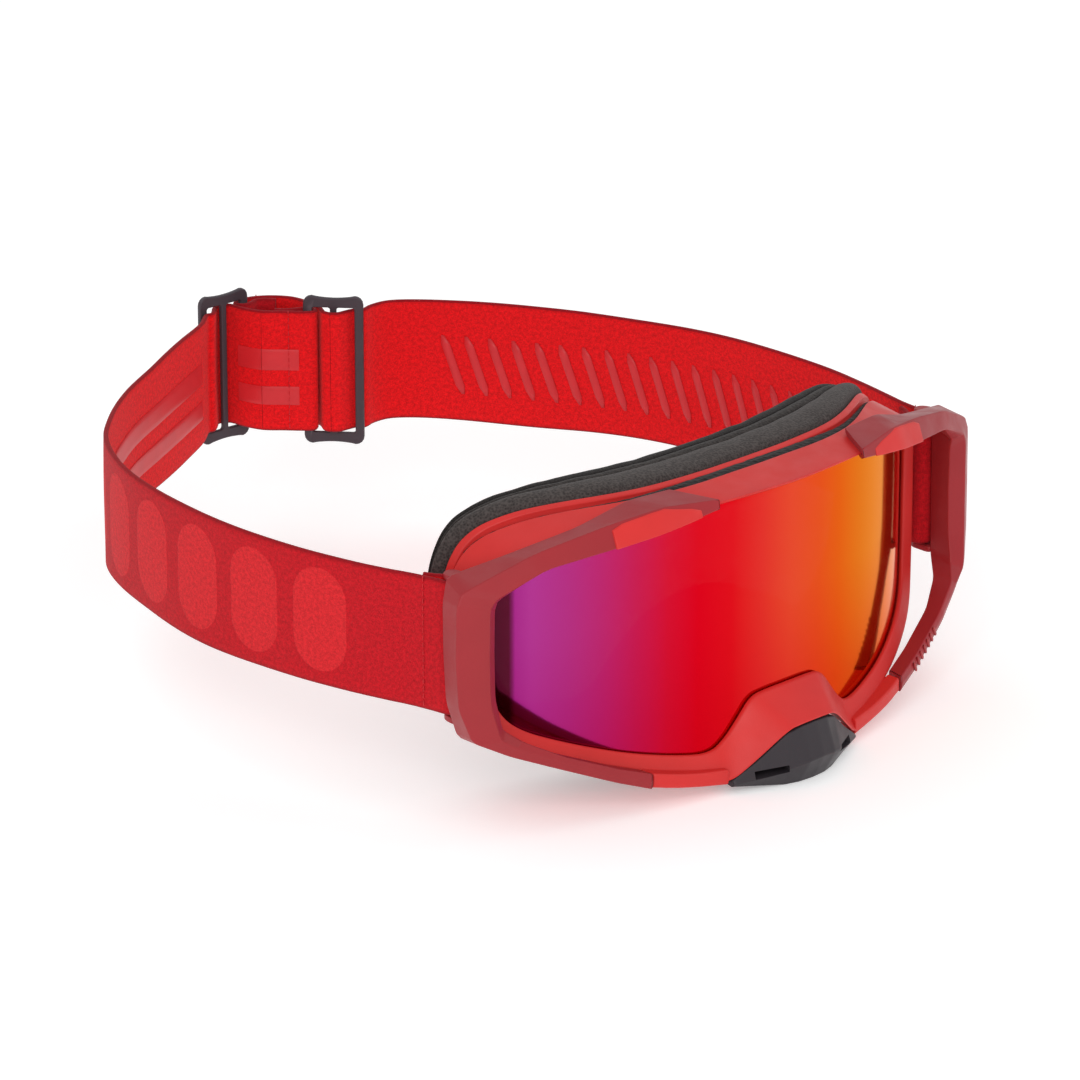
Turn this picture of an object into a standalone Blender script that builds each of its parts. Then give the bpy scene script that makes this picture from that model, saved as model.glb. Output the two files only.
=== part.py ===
"""Off-road goggles: faceted front frame with strap outriggers, a mirrored
cylindrical lens, layered face foam, a clip-in nose guard and an elastic
strap with two three-bar sliders.

+X is to the right when facing the goggles, +Y runs back to the strap and
+Z is up. Everything is laid out in millimetres about the middle of the
strap's height; add_solid() turns that into metres.
"""
import bmesh
import bpy
from math import cos, pi, sin, sqrt
from mathutils import Matrix, Vector

# ---- driving dimensions, in millimetres ---------------------------------
MM = 0.001
GAP = 0.35                  # clearance between pieces that touch
ARC_CENTRE_Y = 96.0         # axis of the front curve, behind the lens
FRONT_RADIUS = 126.0        # front of the frame, in plan
LENS_RADIUS = 122.0         # front of the lens, in plan
LENS_THICK = 1.5
GASKET_THICK = 1.2
FLANGE_THICK = 2.6
FRAME_WALL = 2.0
STRAP_WIDTH = 38.0          # stock elastic webbing
STRAP_THICK = 1.4
GRIP_THICK = 0.4
POST = Vector((94.3, 8.0))  # strap post of the right outrigger, in plan
POST_RADIUS = 1.5
POST_REACH = 20.6           # half its length, to just inside the lugs' faces
SLIDER_PITCH = 7.8          # middle bar to side bar
SLIDER_BAR = 2.0
SLIDER_THICK = 1.6
SLIDER_HEIGHT = 47.0
SLIDER_LEFT = Vector((20.5, 224.3))     # middle bars, in plan
SLIDER_RIGHT = Vector((41.8, 198.3))
SLIDER_LEFT_DIR = Vector((0.9976, -0.0698))
SLIDER_RIGHT_DIR = Vector((0.6296, -0.7769))

# Half outlines, seen from the front, from the top centre round the right
# side to the bottom centre: (x, z, how far forward of the front curve).
OPENING = [
    (0, 31.4, 0), (14, 31.4, 0), (28, 30.9, 0), (44, 29.3, 0), (60, 27.0, 0),
    (71, 24.2, 0), (79, 20.2, 0), (83, 12, 0), (84, 0, 0), (83.8, -12, 0),
    (82.5, -20.2, 0), (78.2, -26.8, 0), (67, -31.6, 0), (52, -36.6, 0),
    (38, -39.8, 0), (27.6, -41.4, 0), (22.6, -38.0, 0), (18.2, -32.8, 0),
    (13.8, -27.6, 0), (8, -26.9, 0), (0, -26.8, 0)]
FRONT_EDGE = [
    (0, 32.9, 0), (14, 32.9, 0), (28, 32.3, 0), (44, 30.7, 0), (60.3, 28.6, 0),
    (72, 26.2, 0), (81.6, 22.4, 0), (86.8, 13, 0.3), (88.2, 0, 0.6),
    (88.0, -12.5, 0.6), (86.6, -22.6, 0.3), (81.4, -31.0, 0),
    (68, -36.0, -0.3), (53, -40.6, -0.2), (38.5, -44.4, 0),
    (29.6, -46.8, 1.2), (26.0, -49.6, 2.4), (18, -43.4, 4.6),
    (9.4, -36.2, 7.2), (5, -35.6, 7.6), (0, -35.4, 7.8)]
BACK_EDGE = [
    (0, 34.4, 0), (14, 34.4, 0), (30, 34.0, 0), (45, 33.2, 0), (59, 31.8, 0),
    (71.5, 29.2, 0), (81.6, 24.6, 0), (87.2, 15, 0), (88.6, 2, 0), (88.3, -12, 0),
    (86.6, -23.5, 0), (81.6, -32, 0), (69, -37.8, 0), (54, -42.2, 0),
    (40, -44.8, 0), (30, -45.8, 0), (24, -43, 0), (18, -37.5, 0),
    (12, -33, 0), (7, -31.4, 0), (0, -31, 0)]
FACE_EDGE = [
    (0, 33.6, 0), (14, 33.6, 0), (30, 33.8, 0), (45, 33.8, 0), (58, 33.0, 0),
    (70, 31.0, 0), (80, 26.6, 0), (85.6, 17, 0), (86.8, 4, 0), (86.2, -10, 0),
    (83.5, -21, 0), (79, -30, 0), (70, -35.8, 0), (57, -39.4, 0),
    (43, -41.4, 0), (33, -41.6, 0), (26, -39, 0), (20, -32, 0),
    (14, -25.5, 0), (8, -21.5, 0), (0, -20, 0)]
FACE_HOLE = [
    (0, 24.5, 0), (14, 24.5, 0), (28, 24.2, 0), (41, 23.4, 0), (53, 21.6, 0),
    (63, 18.6, 0), (70, 14, 0), (74, 8, 0), (75.5, 1, 0), (75, -8, 0),
    (73, -17, 0), (68.5, -24, 0), (61, -28.4, 0), (51, -31, 0),
    (42, -31.8, 0), (37, -30.6, 0), (33, -27, 0), (27, -19.5, 0),
    (19.5, -13.5, 0), (10.5, -10.2, 0), (0, -9.2, 0)]

# Plan curves of the flange's back and the foam's rear face: (x, y).
FLANGE_BACK = [(0, -7.5), (20, -7.2), (36, -5.8), (45, -3.2), (55, 1.8),
               (66, 9.0), (76, 15.5), (88, 23.0)]
FOAM_BACK = [(0, 12.0), (20, 12.3), (36, 14.8), (53, 18.8), (65, 23.0),
             (74, 25.4), (88, 27.5)]
# Width of the vent slot between the frame and the flange: (x, width).
VENT_SLOT = [(0, 5.4), (24, 5.2), (40, 3.6), (52, 2.4), (62, 1.7), (90, 1.2)]
FOAM_SHARES = (0.60, 0.22, 0.18)        # base, middle and face layers

COLOURS = {
    "red": ((0.62, 0.055, 0.05, 1), 0.45),
    "dark_red": ((0.30, 0.045, 0.05, 1), 0.45),
    "lens": ((0.75, 0.01, 0.06, 1), 0.08),
    "black": ((0.02, 0.02, 0.022, 1), 0.6),
    "foam": ((0.045, 0.04, 0.042, 1), 0.9),
    "fleece": ((0.03, 0.028, 0.03, 1), 1.0),
    "charcoal": ((0.055, 0.045, 0.055, 1), 0.5),
    "webbing": ((0.50, 0.02, 0.025, 1), 0.85),
    "silicone": ((0.65, 0.06, 0.07, 1), 0.35),
}


# ---- small tools ----------------------------------------------------------
def lerp_table(table, x):
    """Smooth value at |x| in a table of (x, value) stations."""
    x = min(abs(x), table[-1][0])
    for (x0, v0), (x1, v1) in zip(table, table[1:]):
        if x <= x1:
            return v0 + (v1 - v0) * (x - x0) / (x1 - x0)
    return table[-1][1]


def soft_table(table, x, reach=6.0):
    """The same value averaged over a few millimetres, which rounds kinks."""
    steps = (-1.0, -0.5, 0.0, 0.5, 1.0)
    return sum(lerp_table(table, x + reach * s) for s in steps) / len(steps)


def arc_y(x, radius):
    return ARC_CENTRE_Y - sqrt(radius ** 2 - min(abs(x), radius - 1) ** 2)


def front_y(x):
    return arc_y(x, FRONT_RADIUS)


def rim_y(x):
    """Inner front edge of the frame, which slopes back almost to the lens."""
    return lip_y(x) - 1.2


def lip_y(x):
    """Back of the frame's lip, just in front of the lens."""
    return arc_y(x, LENS_RADIUS + GAP)


def flange_y(x):
    return soft_table(FLANGE_BACK, x)


def frame_back_y(x):
    return flange_y(x) - FLANGE_THICK - soft_table(VENT_SLOT, x, 4.0)


def outline(half, passes=2):
    """A whole closed outline from its right half, with its corners cut."""
    points = half + [(-x, z, d) for x, z, d in reversed(half[1:-1])]
    for _ in range(passes):
        cut = []
        for a, b in zip(points, points[1:] + points[:1]):
            cut.append(tuple(p * 0.75 + q * 0.25 for p, q in zip(a, b)))
            cut.append(tuple(p * 0.25 + q * 0.75 for p, q in zip(a, b)))
        points = cut
    return points


def grow(points, amount):
    """Offset a clockwise outline outwards in the X-Z plane."""
    grown = []
    count = len(points)
    for i, (x, z, d) in enumerate(points):
        before = points[i - 1]
        after = points[(i + 1) % count]
        along = Vector((after[0] - before[0], after[1] - before[1])).normalized()
        grown.append((x - along.y * amount, z + along.x * amount, d))
    return grown


def loop(points, depth, proud=1.0):
    """Stand an outline up in 3-D with depth(x), pushed forward where proud."""
    return [(x, depth(x) - d * proud, z) for x, z, d in points]


def material(kind):
    made = bpy.data.materials.get(kind)
    if made is None:
        colour, rough = COLOURS[kind]
        made = bpy.data.materials.new(kind)
        made.use_nodes = True
        shader = made.node_tree.nodes["Principled BSDF"]
        shader.inputs["Base Color"].default_value = colour
        shader.inputs["Roughness"].default_value = rough
        shader.inputs["Metallic"].default_value = 0.9 if kind == "lens" else 0.0
    return made


def add_solid(name, points, faces, kind, origin=(0, 0, 0)):
    """One closed object from points in millimetres, about its own origin."""
    start = Vector(origin)
    mesh = bpy.data.meshes.new(name)
    mesh.from_pydata([(Vector(p) - start) * MM for p in points], [], faces)
    work = bmesh.new()
    work.from_mesh(mesh)
    bmesh.ops.remove_doubles(work, verts=work.verts, dist=1e-7)
    bmesh.ops.recalc_face_normals(work, faces=work.faces)
    work.to_mesh(mesh)
    work.free()
    mesh.materials.append(material(kind))
    made = bpy.data.objects.new(name, mesh)
    made.location = start * MM
    bpy.context.scene.collection.objects.link(made)
    return made


def ring_solid(name, loops, kind):
    """A frame-like solid: closed loops joined one to the next, all round."""
    count = len(loops[0])
    points = [p for one in loops for p in one]
    faces = []
    for i in range(len(loops)):
        a = i * count
        b = (i + 1) % len(loops) * count
        for j in range(count):
            k = (j + 1) % count
            faces.append((a + j, a + k, b + k, b + j))
    return add_solid(name, points, faces, kind)


def section_solid(name, sections, kind, origin=(0, 0, 0)):
    """A solid skinned over a row of equal sections, with flat ends."""
    count = len(sections[0])
    points = [p for one in sections for p in one]
    faces = [tuple(range(count)), tuple(range(len(points) - count, len(points)))]
    for i in range(len(sections) - 1):
        for j in range(count):
            a = i * count + j
            b = i * count + (j + 1) % count
            faces.append((a, b, b + count, a + count))
    return add_solid(name, points, faces, kind, origin)


def boolean(target, tool, operation):
    """Union or cut, applied at once, with the tool removed afterwards."""
    step = target.modifiers.new(operation.lower(), "BOOLEAN")
    step.operation = operation
    step.solver = "EXACT"
    step.object = tool
    bpy.context.view_layer.update()
    graph = bpy.context.evaluated_depsgraph_get()
    result = bpy.data.meshes.new_from_object(target.evaluated_get(graph))
    target.modifiers.clear()
    target.data = result
    bpy.data.objects.remove(tool)


def smooth_path(points, step=3.0):
    """A Catmull-Rom curve through plan points, sampled about every step."""
    whole = [points[0] * 2 - points[1]] + points + [points[-1] * 2 - points[-2]]
    path = []
    for p0, p1, p2, p3 in zip(whole, whole[1:], whole[2:], whole[3:]):
        pieces = max(2, round((p2 - p1).length / step))
        for i in range(pieces):
            t = i / pieces
            path.append(0.5 * (2 * p1 + (p2 - p0) * t
                               + (2 * p0 - 5 * p1 + 4 * p2 - p3) * t * t
                               + (3 * p1 - p0 - 3 * p2 + p3) * t ** 3))
    return path + [points[-1]]


def ribbon(name, path, height, thick, kind, offset=0.0):
    """A band standing on edge along a plan path."""
    sections = []
    for i, point in enumerate(path):
        along = (path[min(i + 1, len(path) - 1)] - path[max(i - 1, 0)])
        side = Vector((along.y, -along.x)).normalized()
        near = point + side * (offset - thick / 2)
        far = point + side * (offset + thick / 2)
        sections.append([(near.x, near.y, -height / 2),
                         (far.x, far.y, -height / 2),
                         (far.x, far.y, height / 2),
                         (near.x, near.y, height / 2)])
    return section_solid(name, sections, kind)


def mirror_x(points):
    return [(-x, y, z) for x, y, z in points]


# ---- the mask ---------------------------------------------------------------
def frame_loops(clear=0.0):
    """Profile of the front frame, from the lens edge out and back again."""
    hole = outline(OPENING)
    back = outline(BACK_EDGE)
    return [
        loop(hole, lambda x: rim_y(x) - clear),
        loop(grow(outline(FRONT_EDGE), clear), lambda x: front_y(x) - clear),
        loop(grow(back, clear), lambda x: frame_back_y(x) + clear),
        loop(grow(back, -FRAME_WALL), lambda x: frame_back_y(x) + clear),
        loop(grow(hole, 1.2), lip_y),
        loop(hole, lip_y)]


def lower_bar(side, name, clear=0.0):
    """The bright bar from the nose foot to the end of the outrigger."""
    stations = [  # x, front y, back y, bottom z, top z
        (26.6, -29.3, -23.5, -49.5, -45.0), (35.0, -27.9, -22.4, -48.2, -43.9),
        (43.0, -26.2, -20.6, -46.7, -42.3), (50.0, -24.0, -19.4, -45.1, -40.7)]
    sections = []
    for x, near, far, low, high in stations:
        sections.append([(side * x, near - clear, low + 0.6),
                         (side * x, near + 0.8, low - clear),
                         (side * x, far, low - clear),
                         (side * x, far + clear, high),
                         (side * x, near - clear, high + clear)])
    return section_solid(name, sections, "red")


def brow_lug(side, name, clear=0.0):
    """The bright lug of the frame that fills the notch in the top arm."""
    stations = [  # x, front y, lower z, top z
        (35.0, -27.3, 30.2, 32.2), (38.0, -27.0, 29.8, 33.1), (46.3, -25.9, 28.8, 34.5),
        (50.0, -24.8, 28.1, 34.0), (58.5, -22.0, 26.8, 32.4), (61.4, -21.0, 26.3, 31.2)]
    sections = []
    for x, near, low, top in stations:
        x += clear if x > 60 else -clear if x < 36 else 0
        lean = 0.37 * (top - low)
        sections.append([(side * x, near - clear, low - clear),
                         (side * x, near + lean - clear, top + clear),
                         (side * x, near + lean + 4.0 + clear, top + clear),
                         (side * x, near + lean + 4.0 + clear, low + 0.6 - clear)])
    return section_solid(name, sections, "red")


def lens_seat():
    """The space that the lens and gasket fill, a little larger all round."""
    seat = grow(outline(OPENING), 0.9)

    def front(x):
        return lip_y(x) - 0.2

    def back(x):
        return frame_back_y(x) + 2

    return ring_solid("lens_seat", [loop(seat, front), loop(seat, back),
                                    loop(grow(seat, -9), back),
                                    loop(grow(seat, -9), front)], "red")


def front_frame():
    frame = ring_solid("front_frame", frame_loops(), "red")
    for side in (1, -1):
        boolean(frame, lower_bar(side, "bar"), "UNION")
        lug = brow_lug(side, "lug")
        boolean(lug, lens_seat(), "DIFFERENCE")
        boolean(frame, lug, "UNION")
    return frame


def face_frame():
    rim = grow(outline(OPENING, 1), 0.2)
    outer = outline(FACE_EDGE, 1)
    hole = outline(FACE_HOLE, 1)

    def seat(x):
        return arc_y(x, LENS_RADIUS - LENS_THICK - GASKET_THICK - 2 * GAP)

    def flange_front(x):
        return flange_y(x) - FLANGE_THICK + GAP

    return ring_solid("face_frame", [
        loop(grow(rim, -1.9), seat), loop(rim, seat),
        loop(rim, flange_front), loop(grow(outer, -0.5), flange_front),
        loop(outer, lambda x: flange_y(x) - 0.4),
        loop(grow(outer, -0.3), flange_y),
        loop(hole, flange_y), loop(grow(hole, 0.4), flange_front)], "red")


def lens():
    """A cylindrical sheet cut to the opening, a little larger all round."""
    edge = grow(outline(OPENING), 0.55)
    reach = max(x for x, _, _ in edge) - 0.6
    sections = []
    for i in range(61):
        x = reach * sin(pi / 2 * (i / 30 - 1))
        levels = []
        for (x0, z0, _), (x1, z1, _) in zip(edge, edge[1:] + edge[:1]):
            if (x0 - x) * (x1 - x) <= 0 and x0 != x1:
                levels.append(z0 + (z1 - z0) * (x - x0) / (x1 - x0))
        near = arc_y(x, LENS_RADIUS)
        inner = x * (1 - LENS_THICK / LENS_RADIUS)
        far = arc_y(inner, LENS_RADIUS - LENS_THICK)
        sections.append([(x, near, min(levels)), (inner, far, min(levels)),
                         (inner, far, max(levels)), (x, near, max(levels))])
    return section_solid("lens", sections, "lens")


def lens_gasket():
    edge = outline(OPENING, 1)

    front = LENS_RADIUS - LENS_THICK - GAP

    def near(x):
        return arc_y(x, front)

    def far(x):
        return arc_y(x, front - GASKET_THICK)

    return ring_solid("lens_gasket", [
        loop(grow(edge, 0.2), near), loop(grow(edge, 0.2), far),
        loop(grow(edge, -2.4), far), loop(grow(edge, -2.4), near)], "black")


def foam_layer(name, first, last, kind, bulge, inset):
    """One layer of the face foam, between two shares of its thickness."""
    outer = grow(outline(FACE_EDGE, 1), -inset)
    hole = grow(outline(FACE_HOLE, 1), inset * 0.5)

    def at(share, shift=0.0):
        def depth(x):
            start = flange_y(x) + GAP
            return start + (soft_table(FOAM_BACK, x) - start) * share + shift
        return depth

    span = last - first
    return ring_solid(name, [
        loop(outer, at(first)),
        loop(grow(outer, bulge), at(first + 0.3 * span)),
        loop(grow(outer, bulge), at(first + 0.7 * span)),
        loop(outer, at(last, -GAP)),
        loop(hole, at(last, -GAP)),
        loop(grow(hole, -0.6 * bulge), at(first + 0.5 * span)),
        loop(hole, at(first))], kind)


def face_foam():
    base, middle, _ = FOAM_SHARES
    foam_layer("foam_base", 0.0, base, "foam", 1.4, 0.8)
    foam_layer("foam_middle", base, base + middle, "foam", 0.8, 1.4)
    foam_layer("foam_face", base + middle, 1.0, "fleece", 0.8, 1.8)


def vent_foam(name, keep):
    """Mesh foam in the slot between frame and flange, where keep(x, z)."""
    inner = grow(outline(OPENING), 0.7)
    outer = grow(outline(OPENING), 2.1)
    sections = []
    for near, far in zip(inner, outer):
        if not keep(near[0], near[1]):
            continue
        sections.append([
            (near[0], frame_back_y(near[0]) + GAP, near[1]),
            (far[0], frame_back_y(far[0]) + GAP, far[1]),
            (far[0], flange_y(far[0]) - FLANGE_THICK, far[1]),
            (near[0], flange_y(near[0]) - FLANGE_THICK, near[1])])
    sections.sort(key=lambda one: one[0][0])
    return section_solid(name, sections, "foam")


def nose_guard():
    """A faceted wedge that clips under the nose arch, with two slit vents."""
    stations = [  # x, top z, top y, ridge y, ridge z, bottom y, bottom z
        (0.0, -36.1, -37.6, -41.0, -45.0, -37.0, -52.6),
        (5.0, -36.4, -37.2, -40.6, -45.4, -36.6, -52.6),
        (9.5, -37.6, -36.0, -38.6, -46.4, -35.2, -52.6),
        (17.5, -44.0, -32.8, -34.4, -48.6, -32.0, -51.6),
        (25.0, -49.0, -29.6, -30.4, -49.4, -29.8, -50.4)]
    mirrored = [(-s[0],) + s[1:] for s in reversed(stations[1:])]
    sections = []
    for x, top, top_y, ridge_y, ridge, low_y, low in mirrored + stations:
        back = -25.0 - 2.5 * (1 - abs(x) / 26)
        sections.append([(x, top_y, top), (x, ridge_y, ridge),
                         (x, low_y, low), (x, back, low + 1.0),
                         (x, back, top - 0.2)])
    guard = section_solid("nose_guard", sections, "charcoal", (0, -34, -46))
    for side in (1, -1):
        bpy.ops.mesh.primitive_cube_add(size=1)
        slit = bpy.context.active_object
        slit.matrix_world = (Matrix.Translation(Vector((side * 14.2, -34, -47.2)) * MM)
                             @ Matrix.Rotation(side * 0.10, 4, "Y")
                             @ Matrix.Rotation(side * 0.45, 4, "Z")
                             @ Matrix.Diagonal(Vector((10.0, 9.0, 2.2, 1)) * MM))
        slit.matrix_world[3][3] = 1
        boolean(guard, slit, "DIFFERENCE")
    return guard


# ---- outriggers ---------------------------------------------------------------
ARM_STATIONS = [  # inner front, front ridge, outer ridge, outer back, inner back
    ((29.2, -26.4, 30.6), (28.8, -27.9, 31.2), (28.6, -27.4, 33.8),
     (35.3, -14.7, 35.3), (35.5, -14.9, 33.6)),
    ((45.4, -24.2, 28.6), (45.0, -25.8, 29.1), (46.2, -23.6, 35.1),
     (50.0, -13.0, 35.4), (50.0, -13.0, 31.5)),
    ((61.2, -19.4, 26.0), (60.6, -20.9, 26.6), (62.0, -18.2, 32.7),
     (65.0, -8.6, 30.4), (64.0, -8.8, 28.0)),
    ((80.4, -12.0, 23.0), (80.0, -13.4, 23.6), (82.0, -11.0, 28.1),
     (83.5, -2.0, 26.2), (81.0, -2.0, 23.2)),
    ((91.2, -5.6, 15.6), (93.8, -8.0, 17.4), (101.2, -2.0, 19.2),
     (99.1, 6.0, 21.7), (93.2, 4.4, 19.4)),
    ((91.5, -4.8, 12.6), (95.8, -7.2, 14.6), (102.8, -1.8, 15.6),
     (100.9, 5.8, 14.5), (93.4, 3.9, 13.0)),
    ((91.5, -4.6, 0.0), (96.0, -7.1, 0.0), (103.1, -1.7, 0.0),
     (100.6, 5.9, 0.0), (93.6, 3.9, 0.0)),
    ((91.5, -4.9, -12.4), (95.8, -7.4, -13.0), (102.6, -2.2, -13.5),
     (100.2, 5.4, -13.5), (93.4, 3.6, -12.5)),
    ((90.6, -6.8, -21.2), (93.8, -9.2, -22.8), (99.6, -4.4, -23.2),
     (98.0, 3.4, -24.0), (92.4, 2.6, -20.8)),
    ((86.4, -11.2, -24.9), (88.2, -11.0, -26.6), (90.0, -9.4, -28.6),
     (89.6, -3.2, -28.4), (86.0, -4.4, -25.2)),
    ((76.0, -15.8, -30.6), (77.0, -16.0, -32.0), (78.0, -15.2, -33.8),
     (78.0, -9.6, -33.6), (76.4, -10.2, -30.6)),
    ((60.4, -21.2, -37.2), (60.7, -21.6, -39.4), (61.0, -21.0, -41.2),
     (61.5, -15.4, -40.9), (61.0, -15.8, -37.0)),
    ((50.5, -24.1, -40.6), (50.5, -24.4, -43.0), (50.5, -23.9, -45.2),
     (51.6, -18.4, -44.8), (51.6, -18.6, -40.4))]


def rod(side, name, radius, reach):
    """An upright round pin on the axis of a strap post."""
    rings = []
    for z in (-reach, reach):
        rings.append([(side * POST.x + radius * cos(pi * i / 6),
                       POST.y + radius * sin(pi * i / 6), z) for i in range(12)])
    return section_solid(name, rings, "charcoal", (side * POST.x, POST.y, 0))


def outrigger(side, name):
    """A faceted arm that stands off the side of the frame, with two lugs
    behind it for the post that the strap loops round."""
    sections = [[(side * x, y, z) for x, y, z in one] for one in ARM_STATIONS]
    arm = section_solid(name, sections, "dark_red")
    for low, high in ((19.4, 21.0), (-21.2, -19.4)):
        lug = [(91.9, 2.4), (97.6, 2.4), (97.2, 8.0), (96.3, 10.2), (94.3, 11.1), (92.1, 9.8)]
        if side < 0:
            lug = [(-x, y) for x, y in lug]
        boolean(arm, section_solid("lug", [[(x, y, low) for x, y in lug],
                                           [(x, y, high) for x, y in lug]], "dark_red"), "UNION")
    boolean(arm, rod(side, "bore", POST_RADIUS + GAP, 24.0), "DIFFERENCE")
    clear = ring_solid("clear", frame_clearance(), "red")
    boolean(arm, clear, "DIFFERENCE")
    boolean(arm, brow_lug(side, "notch", GAP), "DIFFERENCE")
    return arm


def frame_clearance():
    """The frame's outer form, a clearance larger and filled in behind."""
    core = grow(outline(OPENING), -5)
    return [
        loop(core, lambda x: front_y(x) + 0.5 - GAP),
        loop(grow(outline(FRONT_EDGE), GAP), lambda x: front_y(x) - GAP),
        loop(grow(outline(BACK_EDGE), GAP), frame_back_y),
        loop(grow(outline(BACK_EDGE), GAP), lambda x: frame_back_y(x) + 6),
        loop(core, lambda x: frame_back_y(x) + 6)]


# ---- strap ------------------------------------------------------------------
def points2(*pairs):
    return [Vector(pair) for pair in pairs]


def post_fold():
    """Plan points of the fold round the right post, tail end first."""
    return points2((99.0, 27.5), (97.2, 21.5), (95.4, 15.6), (92.9, 11.8),
                   (91.7, 8.6), (92.3, 6.3), (94.3, 5.3), (96.3, 6.3),
                   (97.1, 8.8), (97.9, 14.0), (99.2, 20.6), (101.0, 27.2))


def on_slider(middle, along, u, v):
    """A plan point from a slider's middle bar: u along it, v to the inside."""
    return middle + along * u + Vector((along.y, -along.x)) * v


def left_strand():
    """The left half: post, side, under the left slider, then its end looped
    round the near bar of the right slider."""
    post = [Vector((-p.x, p.y)) for p in post_fold()]
    side = points2((-103.9, 40), (-106.7, 58), (-107.5, 80), (-106, 100),
                   (-101.9, 120), (-94.6, 141), (-84.5, 159), (-71, 172),
                   (-50, 187.5), (-29, 199), (-10, 209), (4, 216.6))

    def one(u, v):
        return on_slider(SLIDER_LEFT, SLIDER_LEFT_DIR, u, v)

    def two(u, v):
        return on_slider(SLIDER_RIGHT, SLIDER_RIGHT_DIR, u, v)

    weave = [one(-8.6, 2.2), one(-6.2, 2.1), one(-3.8, 0), one(-1.7, -2.2),
             one(0.5, -2.6), one(2.7, -1.6), one(3.7, 0.6), one(4.2, 4.6)]
    panel = points2((26.2, 213.2), (30.6, 208.2))
    bar = -SLIDER_PITCH
    fold = [two(bar, 2.15), two(bar + 1.9, 1.2), two(bar + 2.2, 0),
            two(bar + 1.9, -1.2), two(bar + 0.3, -2.1), two(bar - 2.2, -1.5),
            two(bar - 4.8, -0.1), two(bar - 7.5, 0.5), two(bar - 10.0, 0.6)]
    return post + side + weave + panel + fold


def right_strand():
    """The right half: post, side, over the right slider's middle bar, then
    behind the left half to the far bar of the left slider."""
    side = points2((103.9, 40), (106.7, 58), (107.5, 80), (106, 100),
                   (101.9, 120), (94.8, 140.5), (85.6, 158), (75.6, 176),
                   (67.5, 187.6), (60.6, 193.6), (54.0, 194.4))

    def one(u, v):
        return on_slider(SLIDER_LEFT, SLIDER_LEFT_DIR, u, v)

    def two(u, v):
        return on_slider(SLIDER_RIGHT, SLIDER_RIGHT_DIR, u, v)

    weave = [two(8.6, -2.4), two(6.0, -2.0), two(3.8, 0), two(1.7, 2.2),
             two(-0.5, 2.6), two(-2.5, 1.6), two(-3.5, -0.7), two(-4.7, -3.3),
             two(-7.2, -5.3)]
    bow = points2((42.3, 211.6), (41.6, 216.8), (38.2, 221.8), (33.4, 225.1))
    bar = SLIDER_PITCH
    fold = [one(bar, -2.15), one(bar - 1.9, -1.2), one(bar - 2.2, 0),
            one(bar - 1.9, 1.2), one(bar - 0.3, 2.1), one(bar + 2.2, 1.5),
            one(bar + 4.6, 0.7), one(bar + 7.2, 2.0), one(bar + 9.2, 4.4)]
    return post_fold() + side + weave + bow + fold


def slider(name, middle, along):
    """A three-bar slider: a rounded plate, waisted at its short ends, with
    two slots that leave a middle bar."""
    half_w = SLIDER_PITCH + SLIDER_BAR / 2
    half_h = SLIDER_HEIGHT / 2
    corner = [(half_w, half_h - 3.4), (half_w - 0.5, half_h - 1.4),
              (half_w - 1.6, half_h - 0.3), (half_w - 3.2, half_h),
              (half_w - 6.0, half_h - 0.7), (0, half_h - 1.1)]
    top = corner + [(-x, z) for x, z in reversed(corner[:-1])]
    rim = top + [(x, -z) for x, z in reversed(top)]
    plate = section_solid(name, [[(x, y, z) for x, z in rim]
                                 for y in (-SLIDER_THICK / 2, SLIDER_THICK / 2)], "charcoal")
    slot_w = SLIDER_PITCH - SLIDER_BAR
    slot_h = STRAP_WIDTH + 1.2
    for side in (1, -1):
        middle_x = side * SLIDER_PITCH / 2
        slot = [(middle_x - slot_w / 2, -slot_h / 2), (middle_x + slot_w / 2, -slot_h / 2),
                (middle_x + slot_w / 2, slot_h / 2), (middle_x - slot_w / 2, slot_h / 2)]
        boolean(plate, section_solid("slot", [[(x, y, z) for x, z in slot]
                                              for y in (-3, 3)], "charcoal"), "DIFFERENCE")
    plate.location = Vector((middle.x, middle.y, 0)) * MM
    plate.rotation_euler = (0, 0, Vector((1, 0)).angle_signed(along) * -1)
    return plate


def strap():
    left = smooth_path(left_strand())
    right = smooth_path(right_strand())
    ribbon("strap_left", left, STRAP_WIDTH, STRAP_THICK, "webbing")
    ribbon("strap_right", right, STRAP_WIDTH, STRAP_THICK, "webbing")
    inside = STRAP_THICK / 2 + GAP + GRIP_THICK / 2
    left_run = [p for p in left if p.y > 96 and p.x < 0]
    right_run = [p for p in right if p.y > 70 and p.x > 64]
    ribbon("grip_print_left", left_run, 20.0, GRIP_THICK, "silicone", inside)
    ribbon("grip_print_right", right_run, 20.0, GRIP_THICK, "silicone", -inside)
    slider("slider_left", SLIDER_LEFT, SLIDER_LEFT_DIR)
    slider("slider_right", SLIDER_RIGHT, SLIDER_RIGHT_DIR)


def stand_on_floor():
    """Bring the origin to the middle of the footprint, at the lowest point."""
    bpy.context.view_layer.update()
    solids = [o for o in bpy.data.objects if o.type == "MESH"]
    corners = [o.matrix_world @ v.co for o in solids for v in o.data.vertices]
    low = Vector([min(c[i] for c in corners) for i in range(3)])
    high = Vector([max(c[i] for c in corners) for i in range(3)])
    shift = Vector((-(low.x + high.x) / 2, -(low.y + high.y) / 2, -low.z))
    for solid in solids:
        solid.location += shift


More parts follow.
